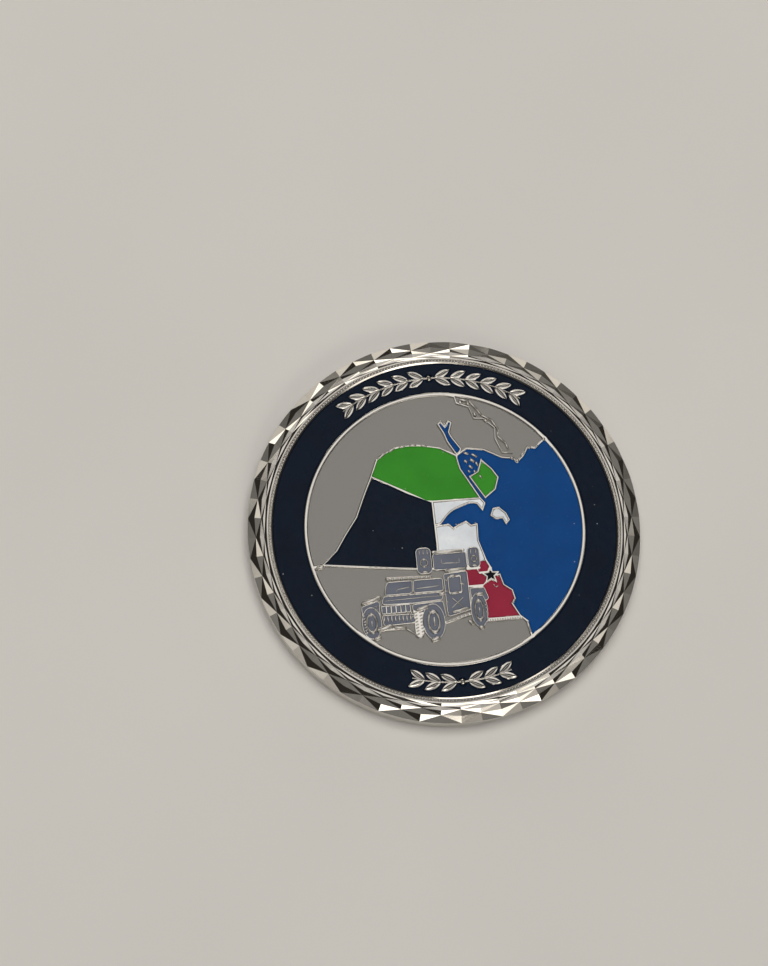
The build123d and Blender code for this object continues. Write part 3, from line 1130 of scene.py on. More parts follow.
def triangulated(lines: Sequence[np.ndarray]) -> tuple:
    """A constrained triangulation of all the ground round closed lines.

    Args:
        lines: Closed lines in plan.

    Returns:
        Its points, edges and faces, then where each point, edge and face came from.
    """
    edges, first = [], 0
    for line in lines:
        count = len(line)
        edges.extend((first + k, first + (k + 1) % count) for k in range(count))
        first += count
    plan = [Vector(point) for line in lines for point in line]
    return delaunay_2d_cdt(plan, edges, [], 0, 1e-7, True)


def crossings(lines: Sequence[np.ndarray]) -> list[Vector]:
    """Where closed lines cross or touch each other or themselves."""
    points, _, _, origins, _, _ = triangulated(lines)
    return [point for point, origin in zip(points, origins) if len(origin) != 1]


def edge_gaps(line: np.ndarray, spots: np.ndarray) -> np.ndarray:
    """Distance from each edge of a closed line to the nearest of several spots."""
    run = np.roll(line, -1, 0) - line
    reach = spots[None, :, :] - line[:, None, :]
    size = np.maximum((run ** 2).sum(axis=1), 1e-12)
    along = (reach * run[:, None, :]).sum(axis=2) / size[:, None]
    off = reach - np.clip(along, 0.0, 1.0)[:, :, None] * run[:, None, :]
    return np.linalg.norm(off, axis=2).min(axis=1)


def settled(outlines: Sequence[Outline], moves: list[np.ndarray], near: float = 0.2,
            touch: float = 0.02, shorten: float = 0.45, rounds: int = 10) -> list[np.ndarray]:
    """Shortens the moves of outlines until the moved lines no longer cross.

    Args:
        outlines: The outlines.
        moves: How far each point of each outline moves.
        near: Points this close to a crossing have their move shortened.
        touch: Both ends of an edge this close to a crossing have their move shortened too.
        shorten: What a move is multiplied by.
        rounds: The most times that this is tried.

    Returns:
        The shortened moves.
    """
    for _ in range(rounds):
        lines = [outline.points + move for outline, move in zip(outlines, moves)]
        crossed = crossings(lines)
        if not crossed:
            break
        spots = np.array([tuple(point) for point in crossed])
        for number, line in enumerate(lines):
            gaps = np.linalg.norm(line[:, None, :] - spots[None, :, :], axis=2).min(axis=1)
            hit = edge_gaps(line, spots) < touch
            close = (gaps < near) | hit | np.roll(hit, 1)
            moves[number] = np.where(close[:, None], moves[number] * shorten, moves[number])
    return moves


def corner_ways(points: np.ndarray, longest: float = 2.0) -> tuple[np.ndarray, np.ndarray]:
    """The direction to the left of an outline at each point.

    Args:
        points: The outline's points.
        longest: The most that a corner's move is lengthened by.

    Returns:
        Each point's unit direction, and the move that keeps its edges parallel.
    """
    ahead = np.roll(points, -1, 0) - points
    ahead /= np.maximum(np.linalg.norm(ahead, axis=1), 1e-9)[:, None]
    left = np.stack((-ahead[:, 1], ahead[:, 0]), axis=1)
    total = left + np.roll(left, 1, 0)
    length = np.maximum(np.linalg.norm(total, axis=1), 1e-6)
    unit = total / length[:, None]
    return unit, unit * np.minimum(2.0 / length, longest)[:, None]


class Filler:
    """Fills the flat ground between closed lines with triangles."""

    def __init__(self, lines: Sequence[np.ndarray]) -> None:
        """Keeps the lines and their edges.

        Args:
            lines: Closed lines in plan.
        """
        self.lines = lines
        self.starts = np.concatenate(lines)
        self.ends = np.concatenate([np.roll(line, -1, 0) for line in lines])

    def inside(self, x: float, y: float) -> bool:
        """Whether a point lies within an odd number of the lines."""
        crosses = (self.starts[:, 1] > y) != (self.ends[:, 1] > y)
        start, end = self.starts[crosses], self.ends[crosses]
        meets = start[:, 0] + (y - start[:, 1]) * (end[:, 0] - start[:, 0]) / (end[:, 1] - start[:, 1])
        return bool((meets > x).sum() % 2)

    def filled(self) -> tuple[list[Point2], list[tuple[int, int, int]], list[int]]:
        """Triangulates what lies within an odd number of the lines.

        Returns:
            The points, the triangles, and each point's number among the lines' own points, or -1.
        """
        points, lines, faces, origins, edge_origins, _ = triangulated(self.lines)
        walls = {frozenset(line) for line, origin in zip(lines, edge_origins) if len(origin)}
        kept = [face for group in self.groups(faces, walls)
                if self.group_inside(points, group) for face in group]
        sources = [origin[0] if len(origin) else -1 for origin in origins]
        return [tuple(point) for point in points], kept, sources

    @staticmethod
    def groups(faces: Sequence[Sequence[int]], walls: set[frozenset]) -> list[list[tuple[int, ...]]]:
        """Sorts triangles into groups that the lines separate."""
        beside: dict[frozenset, list[int]] = {}
        for number, face in enumerate(faces):
            for a, b in zip(face, (*face[1:], face[0])):
                beside.setdefault(frozenset((a, b)), []).append(number)
        near: list[list[int]] = [[] for _ in faces]
        for edge, pair in beside.items():
            if edge not in walls and len(pair) == 2:
                near[pair[0]].append(pair[1])
                near[pair[1]].append(pair[0])
        seen, groups = [False] * len(faces), []
        for number in range(len(faces)):
            if seen[number]:
                continue
            seen[number] = True
            waiting, group = [number], []
            while waiting:
                here = waiting.pop()
                group.append(tuple(faces[here]))
                for other in near[here]:
                    if not seen[other]:
                        seen[other] = True
                        waiting.append(other)
            groups.append(group)
        return groups

    def group_inside(self, points: Sequence[Vector], group: Sequence[tuple[int, ...]]) -> bool:
        """Whether a group lies inside, judged at the middle of its largest triangle."""
        def size(face: tuple[int, ...]) -> float:
            """Twice a triangle's area."""
            a, b, c = (points[corner] for corner in face)
            return abs((b - a).cross(c - a))
        a, b, c = (points[corner] for corner in max(group, key=size))
        middle = (a + b + c) / 3
        return self.inside(middle.x, middle.y)


# ---------------------------------------------------------------- the struck core
@dataclass
class StruckCore:
    """The disc inside the rim: raised lines with rounded shoulders over field and cell floors."""

    coin: CoinSizes
    reader: OutlineReader
    shoulder_reach: float = 0.15
    shoulder_fall: float = 0.08
    shoulder_steps: int = 4
    draft: float = 0.03
    embed: float = 0.12
    edge_steps: int = 180

    def face(self, side: Side) -> tuple[Shell, list[int]]:
        """One face of the disc, as if it were the obverse.

        Args:
            side: The face.

        Returns:
            The face's shell and the numbers of the points round its edge.
        """
        outlines = [outline for outline in self.reader.read(BLANK, self.coin.line_drop, side)
                    if outline.mean_radius < self.coin.frame_outer + self.draft]
        clearance = Clearance(outlines)
        shell = Shell()
        lands, land_rows, grounds, ground_rows = [], [], [], []
        inner, outer = [], []
        for outline in outlines:
            way = corner_ways(outline.points)[1]
            inner.append(clearance.moved(outline, self.shoulder_reach, way)[:, None] * way)
            outer.append(clearance.moved(outline, self.draft, -way)[:, None] * -way)
        inner, outer = settled(outlines, inner), settled(outlines, outer)
        for outline, inward, outward in zip(outlines, inner, outer):
            rows = self.wall(shell, outline, inward, outward)
            lands.append(shell.plan(rows[0]))
            land_rows.extend(rows[0])
            grounds.append(shell.plan(rows[-1]))
            ground_rows.extend(rows[-1])
        edge = [polar(self.coin.rim_inner + self.embed, 360.0 * k / self.edge_steps)
                for k in range(self.edge_steps)]
        edge_row = shell.add_row(edge, self.coin.thickness - self.coin.floor_drop)
        self.fill(shell, lands, land_rows)
        self.fill(shell, [*grounds, np.array(edge)], ground_rows + edge_row)
        if side is Side.REVERSE:
            shell.turn_over(self.coin.thickness)
        log.info("struck face %s: %d outlines", side.name.lower(), len(outlines))
        return shell, edge_row

    def wall(self, shell: Shell, outline: Outline, inward: np.ndarray,
             outward: np.ndarray) -> list[list[int]]:
        """The wall of one raised line, from its flat top over the shoulder to the ground.

        Args:
            shell: The shell to add to.
            outline: The line's outline.
            inward: The shoulder's reach over the line, at each point.
            outward: The foot's reach over the ground, at each point.

        Returns:
            The point numbers of each row, from the top down.
        """
        unit = corner_ways(outline.points)[0]
        room = np.linalg.norm(inward, axis=1)
        top = self.coin.thickness - self.coin.line_drop
        rows, leans = [], []
        for k in range(self.shoulder_steps + 1):
            turn = math.radians(90.0 * k / self.shoulder_steps)
            plan = outline.points + inward * (1 - math.sin(turn))
            rows.append(shell.add_row(plan, top - self.shoulder_fall * (1 - math.cos(turn))))
            leans.append([self.lean(x, y, turn, own) for (x, y), own in zip(unit, room)])
        rows.append(shell.add_row(outline.points + outward,
                                  self.coin.thickness - outline.ground_drop))
        leans.append(leans[-1])
        count = len(outline.points)
        for upper, lower, lean_up, lean_low in zip(rows, rows[1:], leans, leans[1:]):
            for k in range(count):
                n = (k + 1) % count
                shell.add_face((upper[k], lower[k], lower[n], upper[n]),
                               (lean_up[k], lean_low[k], lean_low[n], lean_up[n]))
        return rows

    def lean(self, x: float, y: float, turn: float, room: float) -> Point3:
        """The normal on a shoulder, which is a quarter of an oval.

        Args:
            x: The inward direction's X.
            y: The inward direction's Y.
            turn: How far round the shoulder, from its flat top.
            room: How far inwards the shoulder reaches.

        Returns:
            The unit normal.
        """
        out, up = math.sin(turn) * self.shoulder_fall, math.cos(turn) * max(room, 0.01)
        size = math.hypot(out, up)
        return -x * out / size, -y * out / size, up / size

    @staticmethod
    def fill(shell: Shell, lines: Sequence[np.ndarray], numbers: Sequence[int]) -> None:
        """Fills flat ground between rows that the shell already has."""
        points, triangles, sources = Filler(lines).filled()
        placed: dict[int, int] = {}
        for face in triangles:
            heights = [shell.points[numbers[sources[corner]]][2] for corner in face
                       if sources[corner] >= 0]
            corners = []
            for corner in face:
                if sources[corner] >= 0:
                    corners.append(numbers[sources[corner]])
                    continue
                if corner not in placed:
                    level = heights[0] if heights else shell.points[numbers[0]][2]
                    placed[corner] = shell.add_row([points[corner]], level)[0]
                corners.append(placed[corner])
            shell.add_face(corners, [(0.0, 0.0, 1.0)] * 3)

    def build(self, paints: Paintbox) -> None:
        """Joins the two faces at their edge into one closed disc."""
        shell, upper = self.face(Side.OBVERSE)
        under, lower = self.face(Side.REVERSE)
        moved = shell.take_in(under)
        lower = [number + moved for number in lower]
        count = len(upper)
        for k in range(count):
            n = (k + 1) % count
            outward = [(*polar(1.0, 360.0 * at / count), 0.0) for at in (k, n)]
            shell.add_face((lower[k], lower[n], upper[n], upper[k]),
                           (outward[0], outward[1], outward[1], outward[0]))
        plated(shell, "struck_core", 30.0, Metal.STRUCK, paints)


# ---------------------------------------------------------------- enamels
@dataclass
class EnamelCell:
    """One colour of enamel: it fills its cells and creeps a little way up their walls."""

    coin: CoinSizes
    reader: OutlineReader
    node: str
    colour: Enamel
    side: Side = Side.OBVERSE
    creep: float = 0.045
    reach: float = 0.07
    steps: tuple[float, ...] = (0.0, 0.03, 0.07, 0.13, 0.22)

    def rise(self, distance: float) -> float:
        """Height of the enamel over its middle, at a distance from the wall."""
        return self.creep * math.exp(-distance / self.reach)

    def build(self, paints: Paintbox) -> None:
        """Builds the enamel from the outline of its own node."""
        outlines = self.reader.read(self.node, self.coin.enamel_drop, self.side)
        clearance = Clearance(outlines)
        shell = Shell()
        surface = self.coin.thickness - self.coin.enamel_drop
        floor = self.coin.thickness - self.coin.floor_drop
        lines, line_rows, floors, floor_rows = [], [], [], []
        ways = [corner_ways(outline.points) for outline in outlines]
        moves = settled(outlines, [clearance.moved(outline, self.steps[-1], way)[:, None] * way
                                   for outline, (_, way) in zip(outlines, ways)])
        for outline, (unit, _), move in zip(outlines, ways, moves):
            inward = move / self.steps[-1]
            foot = shell.add_row(outline.points, floor)
            rows, leans = [], []
            for distance in self.steps:
                rows.append(shell.add_row(outline.points + inward * distance,
                                          surface + self.rise(distance)))
                fall = self.rise(distance) / self.reach
                size = math.hypot(1.0, fall)
                leans.append([(x * fall / size, y * fall / size, 1.0 / size) for x, y in unit])
            leans[-1] = [(0.0, 0.0, 1.0)] * len(unit)
            wall_lean = [(-x, -y, 0.0) for x, y in unit]
            shell.add_smooth_strip(foot, rows[0], wall_lean, wall_lean)
            for outer, inner, lean_out, lean_in in zip(rows, rows[1:], leans, leans[1:]):
                shell.add_smooth_strip(outer, inner, lean_out, lean_in)
            lines.append(shell.plan(rows[-1]))
            line_rows.extend(rows[-1])
            floors.append(outline.points)
            floor_rows.extend(foot)
        StruckCore.fill(shell, lines, line_rows)
        under = Shell()
        under.points = shell.points
        StruckCore.fill(under, floors, floor_rows)
        for face in under.faces:
            shell.add_face(face[::-1], [(0.0, 0.0, -1.0)] * 3)
        if self.side is Side.REVERSE:
            shell.turn_over(self.coin.thickness)
        piece = as_object(shell.to_mesh(self.node.replace("_enamel", "_fill"), 30.0),
                          paints.of(self.colour))
        hand_over(piece, self.colour.value.name, self.node)


OBVERSE_COLOURS = {
    "border": Enamel.NAVY, "black_land": Enamel.NAVY, "star": Enamel.BLACK,
    "sea": Enamel.SEA, "channel": Enamel.SEA,
    "green_land": Enamel.GREEN, "green_island": Enamel.GREEN,
    "north_shore": Enamel.WHITE, "south_shore": Enamel.WHITE, "islet": Enamel.WHITE,
    "red_headland": Enamel.RED, "red_field": Enamel.RED, "red_coast": Enamel.RED,
}
REVERSE_NODES = ("reverse_border_enamel", "compass_enamel")


def enamel_cells(coin: CoinSizes, reader: OutlineReader) -> Iterator[EnamelCell]:
    """One cell for each enamel node of the frame."""
    for node in sorted(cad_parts):
        if node == BLANK:
            continue
        if node in REVERSE_NODES:
            yield EnamelCell(coin, reader, node, Enamel.NAVY, Side.REVERSE)
            continue
        colour = OBVERSE_COLOURS.get(node.removesuffix("_enamel"), Enamel.GREY)
        yield EnamelCell(coin, reader, node, colour)


# ---------------------------------------------------------------- garlands and beads
@dataclass
class Garlands:
    """The laurel garlands that stand in the obverse's border ring."""

    coin: CoinSizes
    sprigs: dict[str, tuple[float, int]] = field(
        default_factory=lambda: {"upper": (90.0, 6), "lower": (-90.0, 3)})
    leaf_length: float = 2.05
    leaf_width: float = 0.80
    widest: float = 0.45
    spread: float = 27.0
    pitch: float = 5.7
    first_pair: float = 0.35
    stem_width: float = 0.20
    stem_end: float = 0.2
    berry_radius: float = 0.42
    crown_drop: float = 0.035
    shoulder_drop: float = 0.13
    shoulder_round: float = 0.02
    flank_sink: float = 0.72
    stem_depth: float = 0.7
    stem_step: float = 0.8
    stations: int = 12

    def half_width(self, x: float) -> float:
        """Half the leaf's width, from the circle through its two ends and its widest point."""
        length, half = self.leaf_length, self.leaf_width / 2
        share = self.widest * (1 - self.widest)
        sink = (share * length ** 2 - half ** 2) / (2 * half)
        radius = math.hypot(length / 2, sink)
        return max(math.sqrt(radius ** 2 - (x - length / 2) ** 2) - sink, 0.012)

    def leaf(self) -> bpy.types.Mesh:
        """A leaf with a raised midrib, hollowed flanks and drafted sides, along X."""
        shell = Shell()
        top = self.coin.thickness
        rows = []
        for k in range(self.stations + 1):
            share = (1 - math.cos(math.pi * k / self.stations)) / 2
            x = self.leaf_length * share
            half = self.half_width(x)
            arch = math.sin(math.pi * share) ** 0.5
            rib = self.shoulder_drop + (self.crown_drop - self.shoulder_drop) * arch
            flank = rib + (self.shoulder_drop + 0.015 - rib) * self.flank_sink
            right = ((half * 0.10, rib + 0.006), (half * 0.45, flank),
                     (half * 0.90, self.shoulder_drop - 0.01),
                     (half, self.shoulder_drop + self.shoulder_round),
                     (half + self.shoulder_round, self.coin.floor_drop))
            section = [*((-y, drop) for y, drop in right[::-1]), (0.0, rib), *right]
            row = shell.add_points((x, y, top - drop) for y, drop in section)
            rows.append(row)
        for lower, upper in zip(rows, rows[1:]):
            shell.add_strip(upper, lower)
        shell.add_face(rows[0])
        shell.add_face(rows[-1][::-1])
        return shell.to_mesh("laurel_leaf", LEAF_CREASE)

    def recipe(self) -> Recipe:
        """Sets leaves in pairs along an arc, pointing away from its middle on both sides."""
        recipe = Recipe("laurel_sprig")
        pairs = recipe.named("Pairs", "NodeSocketInt")
        radius, middle = recipe.number("Radius"), recipe.number("Middle")
        pitch, first = recipe.number("Pitch"), recipe.number("First")
        spread = recipe.number("Spread")
        index = recipe.node("GeometryNodeInputIndex").outputs[0]
        pair = recipe.sum("FLOOR", recipe.sum("DIVIDE", index, 4.0))
        odd = recipe.sum("MODULO", index, 2.0)
        side = recipe.sum("SUBTRACT", recipe.sum("MULTIPLY", odd, 2.0), 1.0)
        high = recipe.sum("MODULO", recipe.sum("FLOOR", recipe.sum("DIVIDE", index, 2.0)), 2.0)
        tilt = recipe.sum("SUBTRACT", recipe.sum("MULTIPLY", high, 2.0), 1.0)
        away = recipe.sum("MULTIPLY", recipe.sum("ADD", pair, first), pitch)
        place = recipe.sum("ADD", middle, recipe.sum("MULTIPLY", side, away))
        along = recipe.sum("ADD", place, recipe.sum("MULTIPLY", side, math.pi / 2))
        turn = recipe.sum("ADD", along, recipe.sum("MULTIPLY", tilt, spread))
        count = recipe.sum("MULTIPLY", pairs, 4.0)
        recipe.finish(recipe.ring_of(count, radius, place, turn))
        return recipe

    def stem(self, name: str, middle: float, pairs: int) -> Shell:
        """A half-round stem along the border's middle line, closed at both ends.

        Args:
            name: The sprig's name, for the log.
            middle: Angle of the sprig's middle.
            pairs: Pairs of leaves on each side of the middle.

        Returns:
            The stem's shell.
        """
        shell = Shell()
        reach = (pairs + self.stem_end) * self.pitch
        half, top = self.stem_width / 2, self.coin.thickness
        section = half_round(half, top - self.coin.floor_drop, top - self.coin.line_drop,
                             half * self.stem_depth)
        steps = round(2 * reach / self.stem_step)
        rows = []
        for k in range(steps + 1):
            degrees = middle - reach + 2 * reach * k / steps
            rows.append(shell.add_points((*polar(self.coin.sprig_radius + across, degrees), height)
                                         for across, height in section))
        for here, there in zip(rows, rows[1:]):
            shell.add_strip(there, here)
        shell.add_face(rows[0])
        shell.add_face(rows[-1][::-1])
        log.info("stem of the %s sprig reaches %.1f degrees each way", name, reach)
        return shell

    def build(self, paints: Paintbox) -> None:
        """Builds the leaves, then the stem and its berry, of each sprig."""
        recipe = self.recipe()
        for name, (middle, pairs) in self.sprigs.items():
            leaves = recipe.bake(self.leaf(), paints.of(Metal.RELIEF), f"{name}_laurel_leaves",
                                 LEAF_CREASE, Pairs=pairs, Radius=self.coin.sprig_radius * MM,
                                 Middle=math.radians(middle), Pitch=math.radians(self.pitch),
                                 First=self.first_pair, Spread=math.radians(self.spread))
            hand_over(leaves, PLATE, BLANK)
            shell = self.stem(name, middle, pairs)
            berry = boss(self.coin, self.berry_radius, self.crown_drop)
            berry.move(polar(self.coin.sprig_radius, middle))
            shell.take_in(berry)
            plated(shell, f"{name}_laurel_stem", BEAD_CREASE, Metal.RELIEF, paints)


@dataclass
class BeadRing:
    """The ring of beads in the reverse's border."""

    coin: CoinSizes
    count: int = 24
    radius: float = 0.42
    crown_drop: float = 0.035

    def build(self, paints: Paintbox) -> None:
        """Repeats one bead round the border."""
        bead = boss(self.coin, self.radius, self.crown_drop)
        bead.turn_over(self.coin.thickness)
        ringed(bead, "reverse_beads", BEAD_CREASE, self.count, self.coin.sprig_radius, paints)


@dataclass
class CompassTrim:
    """The compass's ring of bearing marks and the boss at its middle, on the reverse."""

    coin: CoinSizes
    marks: int = 72
    mark_radius: float = 14.30
    mark_length: float = 0.60
    mark_width: float = 0.16
    mark_drop: float = 0.10
    long_marks: int = 8
    long_length: float = 1.10
    long_width: float = 0.32
    base_drop: float = 0.40
    boss_radius: float = 0.90
    boss_drop: float = 0.03

    def ring(self, paints: Paintbox, name: str, count: int, length: float, width: float) -> None:
        """Repeats one radial mark round the compass.

        Args:
            paints: The finishes.
            name: The piece's name.
            count: How many marks.
            length: A mark's length.
            width: A mark's width.
        """
        mark = boss(self.coin, width / 2, self.mark_drop - width / 8, length - width, self.base_drop,
                    spokes=10, rings=3, flat=0.4)
        mark.turn_over(self.coin.thickness)
        ringed(mark, name, TRIM_CREASE, count, self.mark_radius, paints)

    def build(self, paints: Paintbox) -> None:
        """Builds the fine marks, the eight long ones and the middle boss."""
        self.ring(paints, "compass_fine_marks", self.marks, self.mark_length, self.mark_width)
        self.ring(paints, "compass_long_marks", self.long_marks, self.long_length, self.long_width)
        middle = boss(self.coin, self.boss_radius, self.boss_drop, base_drop=self.base_drop,
                      spokes=48, rings=8, flat=0.25)
        middle.turn_over(self.coin.thickness)
        plated(middle, "compass_boss", BEAD_CREASE, Metal.RELIEF, paints)


# ---------------------------------------------------------------- small raised trim
BAR_FLAT = 0.62


@dataclass(frozen=True)
class Bar:
    """A round-ended bar of metal with a flat top, between two points in plan."""

    start: Point2
    end: Point2
    width: float
    crown_drop: float = 0.05

    def shell(self, coin: CoinSizes, base_drop: float) -> Shell:
        """The bar's closed shell, in place."""
        dx, dy = self.end[0] - self.start[0], self.end[1] - self.start[1]
        made = boss(coin, self.width / 2, self.crown_drop, max(math.hypot(dx, dy) - self.width, 0.0),
                    base_drop, spokes=12, rings=3, flat=BAR_FLAT)
        made.move(((self.start[0] + self.end[0]) / 2, (self.start[1] + self.end[1]) / 2),
                  math.degrees(math.atan2(dy, dx)))
        return made


@dataclass(frozen=True)
class Row:
    """A straight row of like bars."""

    name: str
    start: Point2
    end: Point2
    count: int
    width: float
    length: float
    turn: float
    crown_drop: float = 0.04


@dataclass
class Trim:
    """A group of raised fittings: bars and ovals joined in one piece, and rows of like bars."""

    coin: CoinSizes
    name: str
    bars: tuple[Bar, ...]
    rows: tuple[Row, ...]
    ovals: tuple[tuple[Point2, Point2, float], ...] = ()
    base_drop: float = 0.40
    oval_crown: float = 0.06

    def oval(self, centre: Point2, radii: Point2, width: float, steps: int = 40) -> Shell:
        """A raised oval line with a round top.

        Args:
            centre: The oval's centre.
            radii: Its radii along X and Y.
            width: The line's width.
            steps: Points round it.

        Returns:
            The oval's closed shell.
        """
        shell, top = Shell(), self.coin.thickness
        ways = [polar(1.0, 360.0 * k / steps) for k in range(steps)]
        rows = []
        for across, height in half_round(width / 2, top - self.base_drop, top - self.oval_crown,
                                         width / 2):
            wide, tall = radii[0] + across, radii[1] + across
            rows.append(shell.add_row([(wide * cos + centre[0], tall * sin + centre[1])
                                       for cos, sin in ways], height))
        for outer, inner in zip(rows, rows[1:] + rows[:1]):
            shell.add_strip(outer, inner)
        return shell

    def build(self, paints: Paintbox) -> None:
        """Builds the bars and ovals as one piece, and each row as its own."""
        shell = Shell()
        for bar in self.bars:
            shell.take_in(bar.shell(self.coin, self.base_drop))
        for centre, radii, width in self.ovals:
            shell.take_in(self.oval(centre, radii, width))
        plated(shell, f"{self.name}_bars", TRIM_CREASE, Metal.RELIEF, paints)
        recipe = row_recipe(f"{self.name}_row")
        for row in self.rows:
            one = boss(self.coin, row.width / 2, row.crown_drop, max(row.length - row.width, 0.0),
                       self.base_drop, spokes=10, rings=3, flat=BAR_FLAT)
            made = recipe.bake(one.to_mesh("row_bar", TRIM_CREASE), paints.of(Metal.RELIEF),
                               f"{self.name}_{row.name}", TRIM_CREASE, Count=row.count,
                               FromX=row.start[0] * MM, FromY=row.start[1] * MM,
                               ToX=row.end[0] * MM, ToY=row.end[1] * MM, Turn=math.radians(row.turn))
            hand_over(made, PLATE, BLANK)


def route(points: Sequence[Point2], width: float, crown_drop: float) -> tuple[Bar, ...]:
    """Bars end to end along a broken line."""
    return tuple(Bar(start, end, width, crown_drop) for start, end in zip(points, points[1:]))


def truck_trim(coin: CoinSizes) -> Trim:
    """The truck's raised fittings."""
    bars = (
        Bar((-10.3, -8.1), (-8.05, -7.5), 0.50), Bar((-7.35, -5.95), (-7.6, -7.5), 0.14),
        Bar((-6.3, -7.0), (-6.15, -6.75), 0.10, 0.14), Bar((-6.15, -6.75), (-4.75, -6.6), 0.10, 0.14),
        Bar((-4.0, -6.85), (-1.3, -6.7), 0.10, 0.14), Bar((-7.7, -7.95), (-1.4, -7.85), 0.08, 0.15),
        Bar((-1.6, -7.75), (-0.8, -7.6), 0.40), Bar((-4.3, -9.3), (-2.8, -9.0), 0.50),
        Bar((-8.9, -11.25), (-7.0, -10.85), 0.62, 0.02), Bar((-6.95, -11.1), (-5.6, -11.2), 0.34),
        Bar((-5.6, -11.3), (-4.6, -12.0), 0.18), Bar((-3.0, -12.85), (-1.9, -12.65), 0.56),
        Bar((-9.3, -12.2), (-8.4, -12.0), 0.46), Bar((2.45, -11.8), (3.15, -11.9), 0.50),
        Bar((1.4, -10.9), (1.95, -11.45), 0.42), Bar((-0.15, -8.25), (1.0, -9.45), 0.12, 0.08),
        Bar((-0.3, -9.35), (1.1, -8.3), 0.12, 0.08), Bar((-0.3, -9.85), (1.6, -9.55), 0.34),
        Bar((2.5, -8.1), (3.5, -8.05), 0.44), Bar((-1.7, -2.98), (1.6, -2.98), 0.40, 0.03),
        Bar((-0.5, -5.1), (1.85, -5.05), 0.46, 0.03), Bar((-0.9, -4.2), (1.1, -4.25), 0.09, 0.15),
        Bar((-0.9, -4.2), (-0.9, -3.7), 0.08, 0.16), Bar((1.1, -4.25), (1.1, -3.7), 0.08, 0.16),
        Bar((-3.15, -5.05), (-2.5, -5.05), 0.24), Bar((2.5, -4.75), (3.1, -4.75), 0.20),
        Bar((0.85, -6.7), (1.45, -6.75), 0.16), Bar((-0.3, -5.8), (0.5, -5.75), 0.32),
        Bar((-0.25, -7.75), (0.7, -7.7), 0.30), Bar((-2.4, -10.2), (-2.4, -11.3), 0.26),
        Bar((2.75, -9.55), (2.75, -10.15), 0.16), Bar((-9.35, -10.05), (-9.35, -10.7), 0.16),
        Bar((4.66, -7.05), (4.85, -7.4), 0.10, 0.12), Bar((4.85, -7.4), (5.2, -7.3), 0.10, 0.12),
    )
    rows = (
        Row("roof_bolts", (-7.1, -5.55), (-2.5, -5.6), 10, 0.30, 0.42, 12),
        Row("bonnet_rivets", (-7.3, -7.45), (-2.0, -7.42), 8, 0.20, 0.26, 0),
        Row("guard_teeth", (-7.95, -10.0), (-5.0, -10.1), 8, 0.20, 0.66, 90),
        Row("near_tread_left", (-4.4, -9.55), (-4.35, -12.0), 8, 0.17, 0.34, 25),
        Row("near_tread_right", (-3.85, -9.55), (-3.75, -12.1), 8, 0.17, 0.34, 25),
        Row("far_tread", (-10.2, -9.5), (-10.0, -11.4), 7, 0.18, 0.36, 20),
        Row("sill_studs", (-0.9, -10.85), (1.8, -10.15), 7, 0.26, 0.36, 15),
        Row("near_pod_ribs", (-3.3, -2.8), (-2.4, -2.8), 3, 0.11, 0.55, 90),
        Row("far_pod_ribs", (2.5, -3.1), (3.05, -3.1), 2, 0.11, 0.55, 90),
        Row("rear_tread", (3.55, -8.9), (3.62, -10.9), 6, 0.16, 0.28, 20),
        Row("door_hinges", (-0.62, -6.2), (-0.75, -9.9), 4, 0.14, 0.24, 0),
    )
    ovals = (
        ((-4.85, -9.75), (0.24, 0.27), 0.12), ((-8.75, -8.75), (0.18, 0.24), 0.10),
        ((-2.85, -4.0), (0.40, 0.42), 0.22), ((2.8, -3.95), (0.28, 0.34), 0.18),
        ((-2.45, -10.75), (0.64, 1.18), 0.09), ((2.75, -9.85), (0.47, 1.12), 0.08),
        ((-9.35, -10.35), (0.55, 1.04), 0.08),
    )
    return Trim(coin, "truck_trim", bars, rows, ovals)


